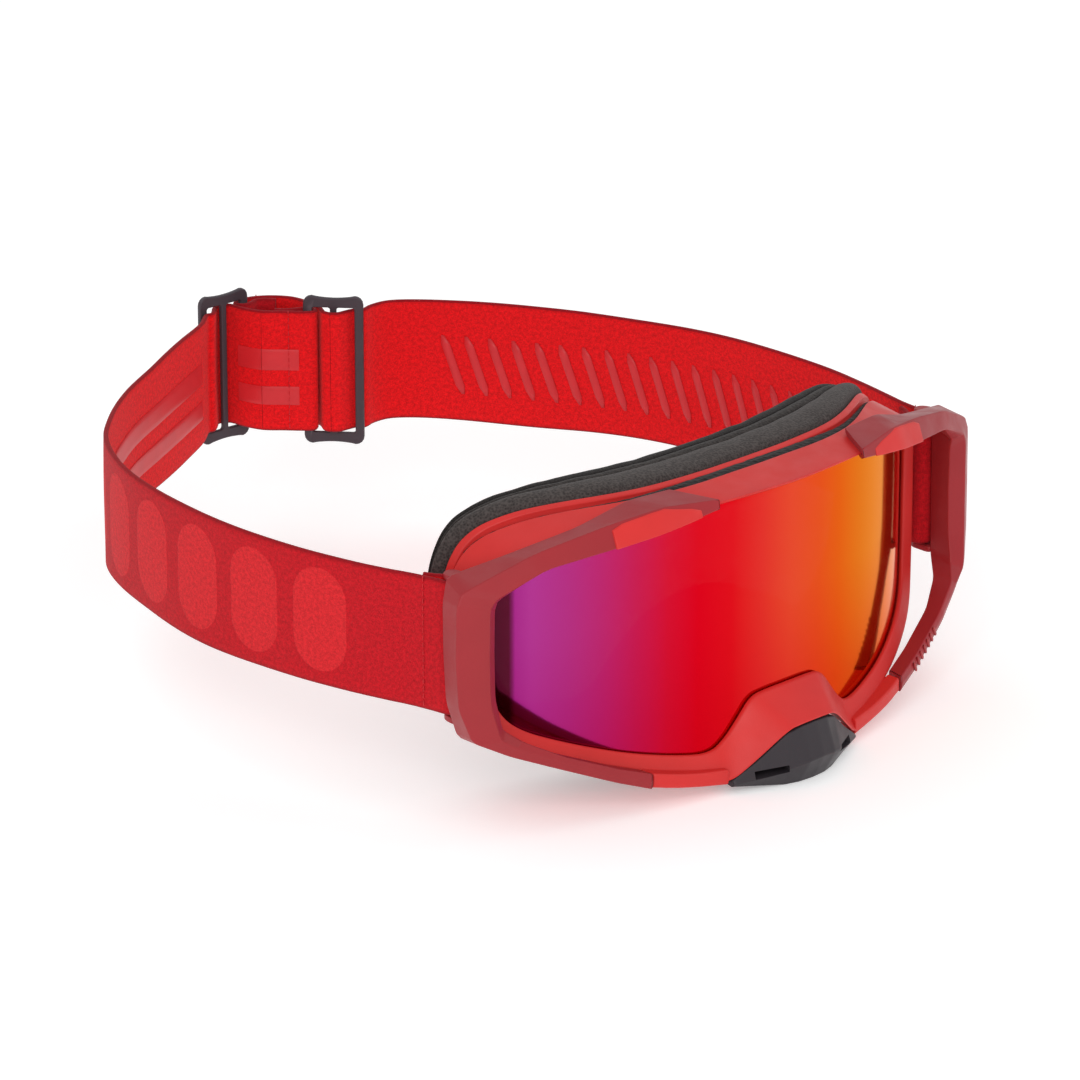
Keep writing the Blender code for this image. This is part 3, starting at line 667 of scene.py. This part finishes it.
def face_shell(mats):
    rim = grow(outline(OPENING), 0.2)
    outer = outline(FACE_EDGE)
    hole = outline(FACE_HOLE)

    def seat(x):
        return arc_y(x, LENS_RADIUS - LENS_THICK - GASKET_THICK - 2 * GAP)

    def flange_front(x):
        return flange_y(x) - FLANGE_THICK + GAP

    loops = [loop(grow(rim, -1.9), seat), loop(rim, seat), loop(rim, flange_front),
             loop(grow(outer, -0.5), flange_front), loop(outer, lambda x: flange_y(x) - 0.4),
             loop(grow(outer, -0.3), flange_y), loop(hole, flange_y),
             loop(grow(hole, 0.4), flange_front)]
    radii = (0.4, 0.4, 0, 0.5, 0.3, 0.2, 0.6, 0.5)
    made = ring_piece("face_flange", soften(loops, radii), mats["red"])
    stands_for("face_frame")


def lens_sheet(mats):
    edge = grow(outline(OPENING), 0.55)
    reach = max(x for x, _, _ in edge) - 0.6
    sections = []
    steps = 220
    for i in range(steps + 1):
        x = reach * sin(pi / 2 * (2 * i / steps - 1))
        levels = []
        for (x0, z0, _), (x1, z1, _) in zip(edge, edge[1:] + edge[:1]):
            if (x0 - x) * (x1 - x) <= 0 and x0 != x1:
                levels.append(z0 + (z1 - z0) * (x - x0) / (x1 - x0))
        near = arc_y(x, LENS_RADIUS)
        inner = x * (1 - LENS_THICK / LENS_RADIUS)
        far = arc_y(inner, LENS_RADIUS - LENS_THICK)
        low, high = min(levels), max(levels)
        rows = [low + (high - low) * k / 10 for k in range(11)]
        sections.append([Vector((x, near, z)) for z in rows]
                        + [Vector((inner, far, z)) for z in reversed(rows)])
    made = piece("lens_sheet", [p for one in sections for p in one], skin_faces(sections),
                 mats["lens"], weighted=False)
    made.data.set_sharp_from_angle(angle=radians(40))
    stands_for("lens")


def foam_ring(name, node, first, last, bulge, inset, material, ripple):
    """A foam layer with a pillowed outer side and hand-cut unevenness."""
    outer = grow(outline(FACE_EDGE), -inset)
    hole = grow(outline(FACE_HOLE), inset * 0.5)
    span = last - first

    def at(share, shift=0.0):
        def depth(x):
            start = flange_y(x) + GAP
            return start + (soft_table(FOAM_BACK, x) - start) * share + shift
        return depth

    loops = [loop(outer, at(first, 0.1))]
    for t in (0.08, 0.2, 0.35, 0.5, 0.65, 0.8, 0.92):
        loops.append(loop(grow(outer, bulge * sin(pi * t) ** 0.55), at(first + t * span)))
    loops.append(loop(grow(outer, -0.3), at(last, -0.25)))
    loops.append(loop(grow(outer, -2.2), at(last, -0.12)))
    loops.append(loop(grow(hole, 2.2), at(last, -0.12)))
    loops.append(loop(grow(hole, 0.3), at(last, -0.25)))
    for t in (0.85, 0.5, 0.15):
        loops.append(loop(grow(hole, -0.5 * bulge * sin(pi * t)), at(first + t * span)))
    loops.append(loop(hole, at(first, 0.1)))
    for ring in loops:
        for p in ring:
            push = noise.noise(p * 0.16) * ripple + noise.noise(p * 0.55) * ripple * 0.35
            p.z += push * (1 if p.z > 0 else -1) * 0.7
            p.y += 0.15 * push
    made = ring_piece(name, loops, material, weighted=False)
    rounder = made.modifiers.new("rounder", "SUBSURF")
    rounder.levels = rounder.render_levels = 1
    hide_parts(node)
    return made


def foams(mats):
    base, middle, _ = FOAM_SHARES
    one = foam_ring("foam_pillow", "foam_base", 0.0, base, 2.0, 0.1, mats["foam"], 0.35)
    two = foam_ring("foam_core", "foam_middle", base, base + middle, 0.8, 0.5,
                    mats["foam_dark"], 0.3)
    three = foam_ring("foam_facing", "foam_face", base + middle, 1.0, 0.7, 0.6,
                      mats["fleece"], 0.35)


def vent_strip(name, node, keep, mats, outer=None):
    """Mesh foam in the slot behind the frame, where keep(x, z) says so."""
    inner = grow(outline(OPENING), 0.7)
    outer = outer or grow(outline(OPENING), 2.1)
    pairs = [(a, b) for a, b in zip(inner, outer) if keep(a[0], a[1])]
    pairs.sort(key=lambda pair: pair[0][0])
    sections = []
    for (near, near_z, _), (far, far_z, _) in pairs:
        front_in, front_out = frame_back_y(near) + GAP, frame_back_y(far) + GAP
        back_in, back_out = flange_y(near) - FLANGE_THICK, flange_y(far) - FLANGE_THICK
        edge_z = far_z + 0.25 * noise.noise(Vector((far * 0.8, 0, 0)))
        swell = 0.3 if far_z > 0 else -0.3
        sections.append(round_section([
            Vector((near, front_in, near_z)), Vector((far, front_out, edge_z)),
            Vector((far, (front_out + back_out) / 2, edge_z + swell)),
            Vector((far, back_out, edge_z)), Vector((near, back_in, near_z))], 0.4, 2))
    made = skin_piece(name, sections, mats["vent"])
    stands_for(node)


def nose_guard(mats):
    stations = [  # x, top z, top y, ridge y, ridge z, bottom y, bottom z
        (0.0, -36.1, -37.6, -41.0, -45.0, -37.0, -52.6),
        (5.0, -36.4, -37.2, -40.6, -45.4, -36.6, -52.6),
        (9.5, -37.6, -36.0, -38.6, -46.4, -35.2, -52.6),
        (17.5, -44.0, -32.8, -34.4, -48.6, -32.0, -51.6),
        (25.0, -49.0, -29.6, -30.4, -49.4, -29.8, -50.4)]
    mirrored = [(-s[0],) + s[1:] for s in reversed(stations[1:])]
    rows = []
    for x, top, top_y, ridge_y, ridge, low_y, low in mirrored + stations:
        back = -25.0 - 2.5 * (1 - abs(x) / 26)
        top += 0.35
        rows.append([Vector((x, top_y, top)), Vector((x, ridge_y, ridge)), Vector((x, low_y, low)),
                     Vector((x, back, low + 1.0)), Vector((x, back, top - 0.2))])
    made = skin_piece("nose_guard_shell", [round_section(s, 0.45) for s in ease_along(rows, 0.07)],
                      mats["charcoal"], "nose_guard", 0.5)
    for side in (1, -1):
        cut_slit(made, side)
    stands_for("nose_guard")


def cut_slit(guard, side):
    """A slit vent through the guard, as in the part."""
    length, through, height = 10.0, 9.0, 2.2
    turn, tilt = side * 0.45, side * 0.10
    cutter = bpy.data.meshes.new("slit")
    work = bmesh.new()
    bmesh.ops.create_cube(work, size=1)
    for v in work.verts:
        x, y, z = v.co.x * length, v.co.y * through, v.co.z * height
        x, y = x * cos(turn) - y * sin(turn), x * sin(turn) + y * cos(turn)
        x, z = x * cos(tilt) + z * sin(tilt), -x * sin(tilt) + z * cos(tilt)
        v.co = to_row((side * 14.2 + x, -34 + y, -47.2 + z))
    work.to_mesh(cutter)
    work.free()
    guard.data = cut_away(guard, add_object("slit", cutter))


# ---- outriggers --------------------------------------------------------------------
def outrigger(side, word, mats):
    rows = [[Vector((side * x, y, z)) for x, y, z in one] for one in ARM_STATIONS]
    arm = skin_piece("outrigger_arm_" + word,
                     [round_section(s, 0.45) for s in ease_along(rows, 0.10)],
                     mats["dark_red"], end_radius=0.6)
    node = "outrigger_" + word
    stands_for(node)
    for tag, low, high in (("upper", 19.4, 21.0), ("lower", -21.2, -19.4)):
        lug = [Vector((side * x, y, 0)) for x, y in
               ((91.9, 2.4), (97.6, 2.4), (97.2, 8.0), (96.3, 10.2), (94.3, 11.1), (92.1, 9.8))]
        flat = round_section(lug, 1.6, 4)
        rings = [[p + Vector((0, 0, z)) for p in flat]
                 for z in (low, low + 0.4, (low + high) / 2, high - 0.4, high)]
        made = skin_piece("post_lug_%s_%s" % (tag, word), rings, mats["dark_red"], end_radius=0.5)
        stands_for(node)


def grip_ribs(name, centre, along, up, out, count, material, size):
    """A plain row of short slanted ribs moulded on a face."""
    long_, wide, tall = size
    sides = 12
    points, faces = [], []
    for i in range(count):
        middle = centre + along * (i - (count - 1) / 2) * wide * 2.3
        lean = (up + along * 0.35).normalized()
        ring = []
        for k in range(sides):
            t = 2 * pi * k / sides
            ring.append(middle + lean * long_ / 2 * sin(t) + along * wide / 2 * cos(t))
        start = len(points)
        points += ring + [p + out * tall * 0.7 for p in ring]
        points += [middle + (p - middle) * 0.72 + out * tall for p in ring]
        for first in (start, start + sides):
            for k in range(sides):
                after = (k + 1) % sides
                faces.append((first + k, first + after, first + sides + after,
                              first + sides + k))
        faces.append(tuple(range(start + 2 * sides, start + 3 * sides)))
        faces.append(tuple(range(start, start + sides)))
    return piece(name, points, faces, material)


def arm_ribs(mats):
    """Plain moulded ribs on the right arm's lower run."""
    near, far = ARM_STATIONS[10:12]
    along = (Vector(far[1]) - Vector(near[1])).normalized()
    up = (Vector(far[0]) - Vector(far[2])).normalized()
    out = along.cross(up).normalized()
    if out.y > 0:
        out = -out
    centre = Vector(near[1]).lerp(Vector(far[1]), 0.72) - out * 0.25
    ribs = grip_ribs("arm_ribs_right", centre, along, up, out, 7, mats["dark_red"],
                     (3.6, 1.1, 0.55))


# ---- strap -------------------------------------------------------------------------
def points2(*pairs):
    return [Vector(pair) for pair in pairs]


RUN_WAVES = 0.4               # how much a long run and a fold wave
FOLD_WAVES = 0.05
CROSSINGS = {  # body before, body after, and the plan points between which it changes
    ("left", "run"): ("goggles", "slider_left", (-26, 200.5), (8, 219)),
    ("left", "lead"): ("slider_left", "goggles", (24.6, 220.0), (26.2, 213.2)),
    ("left", "end"): ("goggles", "slider_right", (26.2, 213.2), (30.0, 209.0)),
    ("right", "run"): ("goggles", "slider_right", (66, 190), (52, 195)),
    ("right", "lead"): ("slider_right", "goggles", (41.2, 207.0), (41.6, 216.8)),
    ("right", "end"): ("goggles", "slider_left", (41.6, 216.8), (33.4, 225.1))}


def post_fold():
    """Plan points of the fold round the right post, ending on the outside."""
    return points2((96.0, 17.6), (94.8, 14.6), (92.9, 11.8),
                   (91.7, 8.6), (92.3, 6.3), (94.3, 5.3), (96.3, 6.3),
                   (97.1, 8.8), (97.9, 14.0), (99.2, 20.6), (101.0, 27.2))


def on_slider(middle, along, u, v):
    """A plan point in a slider's own axes: u across its bars, v out of it."""
    return middle + along * u + Vector((along.y, -along.x)) * v


def on_left(*pairs):
    return [on_slider(SLIDER_LEFT, SLIDER_LEFT_DIR, u, v) for u, v in pairs]


def on_right(*pairs):
    return [on_slider(SLIDER_RIGHT, SLIDER_RIGHT_DIR, u, v) for u, v in pairs]


def left_strand():
    """Plan points of the left half, in three stretches."""
    run = [Vector((-p.x, p.y)) for p in post_fold()] + points2(
        (-103.9, 40), (-106.7, 58), (-107.5, 80), (-106, 100), (-101.9, 120),
        (-94.6, 141), (-84.5, 159), (-71, 172), (-50, 187.5), (-29, 199),
        (-10, 209), (4, 216.6)) + on_left(
        (-8.6, 2.2), (-6.2, 2.1), (-3.8, 0), (-1.7, -2.2), (0.5, -2.6))
    lead = on_left((2.7, -1.6), (3.7, 0.6), (4.2, 4.6)) + points2((26.2, 213.2))
    bar = -SLIDER_PITCH
    end = points2((30.6, 208.2)) + on_right(
        (bar, 2.15), (bar + 1.9, 1.2), (bar + 2.2, 0), (bar + 1.9, -1.2), (bar + 0.3, -2.1),
        (bar - 2.2, -1.5), (bar - 4.8, -0.1), (bar - 7.5, 0.5), (bar - 10.0, 0.6))
    return run, lead, end


def right_strand():
    """Plan points of the right half, in three stretches."""
    run = post_fold() + points2(
        (103.9, 40), (106.7, 58), (107.5, 80), (106, 100), (101.9, 120),
        (94.8, 140.5), (85.6, 158), (75.6, 176), (67.5, 187.6), (60.6, 193.6),
        (54.0, 194.4)) + on_right(
        (8.6, -2.4), (6.0, -2.0), (3.8, 0), (1.7, 2.2), (-0.5, 2.6))
    lead = on_right((-2.5, 1.6), (-3.5, -0.7), (-4.7, -3.3), (-7.2, -5.3)) + points2(
        (42.3, 211.6), (41.6, 216.8))
    bar = SLIDER_PITCH
    end = points2((38.2, 221.8), (33.4, 225.1)) + on_left(
        (bar, -2.15), (bar - 1.9, -1.2), (bar - 2.2, 0), (bar - 1.9, 1.2), (bar - 0.3, 2.1),
        (bar + 2.2, 1.5), (bar + 4.6, 0.7), (bar + 7.2, 2.0), (bar + 9.2, 4.4))
    return run, lead, end


def smooth_strand(stretches, step=1.3):
    """The whole strand as a smooth path of (point, distance), cut where the
    stretches meet."""
    knots = [p for stretch in stretches for p in stretch]
    cuts = []
    total = 0
    for stretch in stretches:
        total += len(stretch)
        cuts.append(total - 1)
    whole = [knots[0] * 2 - knots[1]] + knots + [knots[-1] * 2 - knots[-2]]
    paths, here, gone = [], [], 0.0
    last = knots[0]
    for i, (p0, p1, p2, p3) in enumerate(zip(whole, whole[1:], whole[2:], whole[3:])):
        pieces = max(3, round((p2 - p1).length / step))
        for k in range(pieces):
            t = k / pieces
            spot = 0.5 * (2 * p1 + (p2 - p0) * t + (2 * p0 - 5 * p1 + 4 * p2 - p3) * t * t
                          + (3 * p1 - p0 - 3 * p2 + p3) * t ** 3)
            gone += (spot - last).length
            last = spot
            here.append((spot, gone))
        if i + 1 in cuts:
            here.append((p2, gone + (p2 - last).length))
            paths.append(here)
            here = []
    return paths


def sway(gone, z, waves):
    """How far the webbing stands off its plan path, most at its edges."""
    wave = 0.6 * sin(gone * 0.11 + 0.05 * z) + 0.4 * sin(gone * 0.043 + 1.3)
    return waves * wave * (z / STRAP_HALF) ** 2


def band(name, path, low, high, offset, thick, materials, inside, waves=0.0, rows=16):
    """A length of webbing or print standing on edge along a plan path. The
    face on the inside of the loop is the second material, edges the third."""
    heights = [low + (high - low) * k / rows for k in range(rows + 1)]
    rim = min(0.45 * thick, 0.5)
    profile = [(-thick / 2, z) for z in heights]
    profile[0] = (-thick / 2, low + rim)
    profile[-1] = (-thick / 2, high - rim)
    other = [(-d, z) for d, z in reversed(profile)]
    profile = profile + [(-thick / 4, high), (thick / 4, high)] + other + [
        (thick / 4, low), (-thick / 4, low)]
    edge_rows = {rows, rows + 1, rows + 2, 2 * rows + 3, 2 * rows + 4, 2 * rows + 5}
    points, uv, faces, slots = [], [], [], []
    count = len(profile)
    for i, (spot, gone) in enumerate(path):
        before, after = path[max(i - 1, 0)][0], path[min(i + 1, len(path) - 1)][0]
        along = (after - before).normalized()
        side = Vector((along.y, -along.x))
        for d, z in profile:
            lift = waves * 0.5 * sin(gone * 0.075 + 0.6) * z / STRAP_HALF
            place = spot + side * (offset + d + sway(gone, z, waves))
            points.append(Vector((place.x, place.y, z + lift)))
            uv.append((gone * MM, z * MM))
    for i in range(len(path) - 1):
        for j in range(count):
            a, b = i * count + j, i * count + (j + 1) % count
            faces.append((a, b, b + count, a + count))
            if j in edge_rows:
                slots.append(2)
            else:
                outer_first = 0 if inside > 0 else 1
                slots.append(outer_first if j < rows else 1 - outer_first)
    faces.append(tuple(range(count)))
    faces.append(tuple(range(len(points) - count, len(points))))
    slots += [2, 2]
    made = piece(name, points, faces, materials, None, slots, uv, weighted=False)
    made.data.set_sharp_from_angle(angle=radians(60))
    return made


def stitch_row(name, path_point, along, low, high, offset, body, mats, pitch=2.1):
    """A column of short lockstitches that run up the webbing."""
    side = Vector((along.y, -along.x))
    centre = path_point + side * offset
    steps, sides = 6, 6
    points, faces = [], []
    z = low
    while z < high:
        start = len(points)
        for k in range(steps + 1):
            t = k / steps
            level = z + t * pitch * 0.72
            arch = sin(pi * t) * 0.16 * (1 if offset > 0 else -1)
            for m in range(sides):
                turn = 2 * pi * m / sides
                out = side * (arch + 0.13 * cos(turn)) + along * 0.16 * sin(turn)
                points.append(Vector((centre.x + out.x, centre.y + out.y, level)))
        for k in range(steps):
            for m in range(sides):
                a, b = start + k * sides + m, start + k * sides + (m + 1) % sides
                faces.append((a, b, b + sides, a + sides))
        last = start + steps * sides
        faces.append(tuple(range(start, start + sides)))
        faces.append(tuple(range(last, last + sides)))
        z += pitch
    return piece(name, points, faces, mats["thread"], body, weighted=False)


def flat_at(path, test):
    """The first point of a path that passes a test, and its direction."""
    for i in range(1, len(path) - 1):
        if test(path[i][0]):
            return path[i][0], (path[i + 1][0] - path[i - 1][0]).normalized()
    return path[1][0], (path[2][0] - path[0][0]).normalized()


def cross(made):
    """Bake a piece's placement into its mesh."""
    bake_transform(made)


def strap(mats):
    webbing = [mats["web_out"], mats["web_in"], mats["web_edge"]]
    left = smooth_strand(left_strand())
    right = smooth_strand(right_strand())
    parts = {}
    for word, other, paths, inside in (("left", "right", left, 1), ("right", "left", right, -1)):
        holders = (["strap_post_" + word, "slider_" + word], ["slider_" + word],
                   ["slider_" + other])
        for tag, path, holder in zip(("run", "lead", "end"), paths, holders):
            made = band("webbing_%s_%s" % (word, tag), path, -STRAP_HALF, STRAP_HALF, 0.0,
                        STRAP_THICK, webbing, inside, RUN_WAVES if tag == "run" else FOLD_WAVES)
            stands_for("strap_" + word)
            parts[word, tag] = made
    for word, tag in CROSSINGS:
        cross(parts[word, tag])
    prints(left, right, mats)
    stitching(left, right, mats)


def prints(left, right, mats):
    """Silicone grip: two plain stripes on the left half, and an even row of
    slanted dashes, all alike, on the right half."""
    rubber = [mats["silicone"]] * 3
    thick = 0.22
    face = STRAP_THICK / 2 + 0.10
    stretches = (("", "run", [s for s in left[0] if s[0].y > 118 and s[0].x < 4], RUN_WAVES),
                 ("_lead", "lead", [s for s in left[1] if s[0].y < 221.0], FOLD_WAVES),
                 ("_end", "end", [s for s in left[2][:14] if s[0].y > 204.5], FOLD_WAVES))
    for height, low, high in (("upper", 0.4, 7.0), ("lower", -10.6, -4.8)):
        for ending, tag, path, waves in stretches:
            made = band("grip_stripe_" + height + ending, path, low, high, face, thick, rubber,
                        1, waves, 4)
            stands_for("grip_print_left")
            cross(made)
    dashes(right[0], face, mats)


def dashes(path, face, mats):
    """Generic grip marks pressed on the right half's inner face."""
    path = [s for s in path if s[0].y > 62 and s[0].x > 66]
    start = path[0][1]
    length = path[-1][1] - start
    points, faces = [], []

    def at(gone, z, lift):
        for (p, g), (q, h) in zip(path, path[1:]):
            if h >= gone:
                break
        t = (gone - g) / max(h - g, 1e-6)
        spot = p.lerp(q, min(max(t, 0), 1))
        along = (q - p).normalized()
        side = Vector((along.y, -along.x)) * -1
        spot = spot + side * (face - 0.08 + lift - sway(gone, z, RUN_WAVES))
        return Vector((spot.x, spot.y, z))

    pitch, gone, margin = 7.4, 5.0, 6
    lean, wide, tall, rows = 3.2, 2.9, 9.2, 7
    while gone < length - margin:
        first = len(points)
        rungs = []
        for k in range(rows + 1):
            z = -tall + 2 * tall * k / rows
            cut = wide / 2 * min(1.0, sqrt(max(0.0, 1 - ((abs(z) / tall) ** 8))) + 0.35)
            middle = start + gone + lean * z / tall
            rungs.append((middle - cut, middle + cut, z - 1.2))
        for a, b, z in rungs:
            points += [at(a, z, 0.0), at(a + 0.15, z, 0.26), at(b - 0.15, z, 0.26),
                       at(b, z, 0.0)]
        for k in range(rows):
            for m in range(3):
                c = first + k * 4 + m
                faces.append((c, c + 1, c + 5, c + 4))
            c = first + k * 4
            faces.append((c + 3, c, c + 4, c + 7))
        faces.append(tuple(range(first, first + 4)))
        faces.append(tuple(range(first + rows * 4, first + rows * 4 + 4)))
        gone += pitch
    made = piece("grip_dashes", points, faces, mats["silicone"], "goggles", weighted=False)
    stands_for("grip_print_right")


def stitching(left, right, mats):
    low, high = -STRAP_HALF + 1.0, STRAP_HALF - 1.2
    face = STRAP_THICK / 2 + 0.12
    spot, along = flat_at(left[2], lambda p: p.y < 208.0)
    stitch_row("stitch_left_end", spot, along, low, high, face, "slider_right", mats)
    for word, paths, sign in (("left", left, -1), ("right", right, 1)):
        outside = [s for s in paths[0] if s[1] > 18]
        spot, along = flat_at(outside, lambda p: p.y > 14.0)
        stitch_row("stitch_post_" + word, spot, along, low, high, face * sign, "goggles", mats)
    spot, along = flat_at(right[2], lambda p: p.y > 224.2)
    stitch_row("stitch_right_end", spot, along, low, high, face, "slider_left", mats)


def slider(name, node, middle, along, mats):
    """The bar slider: rounded bars between waisted ends."""
    half_w = SLIDER_PITCH + SIDE_BAR_HALF
    half_h = SLIDER_HEIGHT / 2
    corner = 2.6
    top = [(half_w, half_h - corner)]
    top += [(half_w - corner + corner * cos(t), half_h - corner + corner * sin(t))
            for t in (pi / 8, pi / 4, 3 * pi / 8, pi / 2)]
    top += [(half_w * share, half_h - 0.7 * cos(pi / 2 * share / 0.74) ** 0.8)
            for share in (0.6, 0.45, 0.3, 0.15)] + [(0.0, half_h - 0.7)]
    top += [(-x, z) for x, z in reversed(top[:-1])]
    rim = top + [(x, -z) for x, z in reversed(top)]
    plate = prism(rim, SLIDER_THICK / 2, middle, along)
    for side in (1, -1):
        plate = slider_slot(plate, side, middle, along)
    made = add_object(name, plate)
    made.data.materials.clear()
    made.data.materials.append(mats["slider"])
    edge = made.modifiers.new("edge", "BEVEL")
    edge.width = 0.00045
    edge.segments = 3
    edge.limit_method = "ANGLE"
    edge.angle_limit = radians(40)
    made.data.polygons.foreach_set("use_smooth", [True] * len(made.data.polygons))
    fair = made.modifiers.new("fair", "WEIGHTED_NORMAL")
    fair.keep_sharp = True
    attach(made, node)
    stands_for(node)


def prism(shape, half_thick, middle, along):
    """A flat shape in the slider's own plane, thickened both ways."""
    inside = Vector((along.y, -along.x))
    mesh = bpy.data.meshes.new("prism")
    points = []
    for v in (-half_thick, half_thick):
        for u, z in shape:
            spot = middle + along * u + inside * v
            points.append(to_row((spot.x, spot.y, z)))
    n = len(shape)
    faces = [tuple(range(n)), tuple(range(n, 2 * n))]
    faces += [(i, (i + 1) % n, n + (i + 1) % n, n + i) for i in range(n)]
    mesh.from_pydata(points, [], faces)
    turn_outward(mesh)
    return mesh


def slider_slot(plate, side, middle, along):
    """Cut the slot on one side of the middle bar."""
    slot_w = SLIDER_PITCH - SLIDER_BAR / 2 - SIDE_BAR_HALF
    slot_h = STRAP_WIDTH + 1.6
    centre = side * (SLIDER_BAR / 2 + slot_w / 2)
    shape = []
    for u, z in ((-1, -1), (1, -1), (1, 1), (-1, 1)):
        corner = ((0, 0.6), (0.2, 0.2), (0.6, 0))
        for du, dz in corner if u * z > 0 else reversed(corner):
            shape.append((centre + u * (slot_w / 2 - du), z * (slot_h / 2 - dz)))
    body = add_object("plate", plate)
    result = cut_away(body, add_object("slot", prism(shape, 3.0, middle, along)))
    bpy.data.objects.remove(body)
    return result


# ---- stage --------------------------------------------------------------------------
def set_stage():
    scene = bpy.context.scene
    scene.view_settings.view_transform = "Standard"
    world = bpy.data.worlds.new("studio")
    scene.world = world
    world.use_nodes = True
    sky = world.node_tree.nodes["Background"].inputs
    sky["Color"].default_value = (1, 1, 1, 1)
    sky["Strength"].default_value = 0.72
    floor_mesh = bpy.data.meshes.new("floor")
    reach = 6.0
    floor_mesh.from_pydata([(-reach, -reach, 0), (reach, -reach, 0), (reach, reach, 0),
                            (-reach, reach, 0)], [], [(0, 1, 2, 3)])
    floor = add_object("floor", floor_mesh)
    paint = bpy.data.materials.new("floor_white")
    paint.use_nodes = True
    shader = paint.node_tree.nodes["Principled BSDF"].inputs
    for key, value in (("Base Color", (0.93, 0.93, 0.93, 1)), ("Roughness", 0.9),
                       ("Emission Color", (1, 1, 1, 1)), ("Emission Strength", 0.26)):
        shader[key].default_value = value
    floor_mesh.materials.append(paint)
    for name, place, size, power in (("key", (-1.1, -0.95, 0.75), 0.9, 9.0),
                                     ("fill", (0.9, -1.1, 0.9), 1.0, 2.6),
                                     ("back", (0.3, 1.1, 1.2), 0.9, 1.4)):
        lamp = bpy.data.lights.new(name, "AREA")
        lamp.size = size
        lamp.energy = power
        made = add_object(name, lamp)
        made.location = place
        aim = Vector((0, 0, 0.04)) - Vector(place)
        made.rotation_euler = aim.to_track_quat("-Z", "Y").to_euler()


def set_camera():
    """The camera comes first, and looks down on the goggles from their left."""
    turn, tilt = radians(VIEW_AZIMUTH), radians(VIEW_ELEVATION)
    back = Vector((-sin(turn) * cos(tilt), -cos(turn) * cos(tilt), sin(tilt)))
    right = Vector((cos(turn), -sin(turn), 0))
    up = back.cross(right)
    data = bpy.data.cameras.new("camera")
    data.lens = VIEW_LENS
    data.sensor_width = 36.0
    data.clip_end = 20.0
    camera = add_object("camera", data)
    camera.location = to_row(back * VIEW_DISTANCE + right * VIEW_RIGHT + up * VIEW_UP)
    camera.rotation_euler = back.to_track_quat("Z", "Y").to_euler()
    bpy.context.scene.camera = camera


def carried_over(mats):
    """CAD nodes whose shape is right get their finish."""
    for node, key in (("lens_gasket", "rubber"), ("strap_post_left", "charcoal"),
                      ("strap_post_right", "charcoal")):
        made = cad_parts[node]
        made.data.materials.clear()
        made.data.materials.append(mats[key])


def main():
    set_camera()
    set_stage()
    mats = make_materials()
    carried_over(mats)
    front_shell(mats)
    face_shell(mats)
    lens_sheet(mats)
    foams(mats)
    vent_strip("vent_mesh_brow", "vent_foam_brow", lambda x, z: z > 12 and abs(x) < 81, mats,
               grow(outline(BACK_EDGE), -1.0))
    for side, word in SIDES:
        vent_strip("vent_mesh_chin_" + word, "vent_foam_chin_" + word,
                   lambda x, z, side=side: z < -30 and 33 < side * x < 50, mats)
    nose_guard(mats)
    for side, word in SIDES:
        outrigger(side, word, mats)
    arm_ribs(mats)
    strap(mats)
    slider("slider_frame_left", "slider_left", SLIDER_LEFT, SLIDER_LEFT_DIR, mats)
    slider("slider_frame_right", "slider_right", SLIDER_RIGHT, SLIDER_RIGHT_DIR, mats)


main()
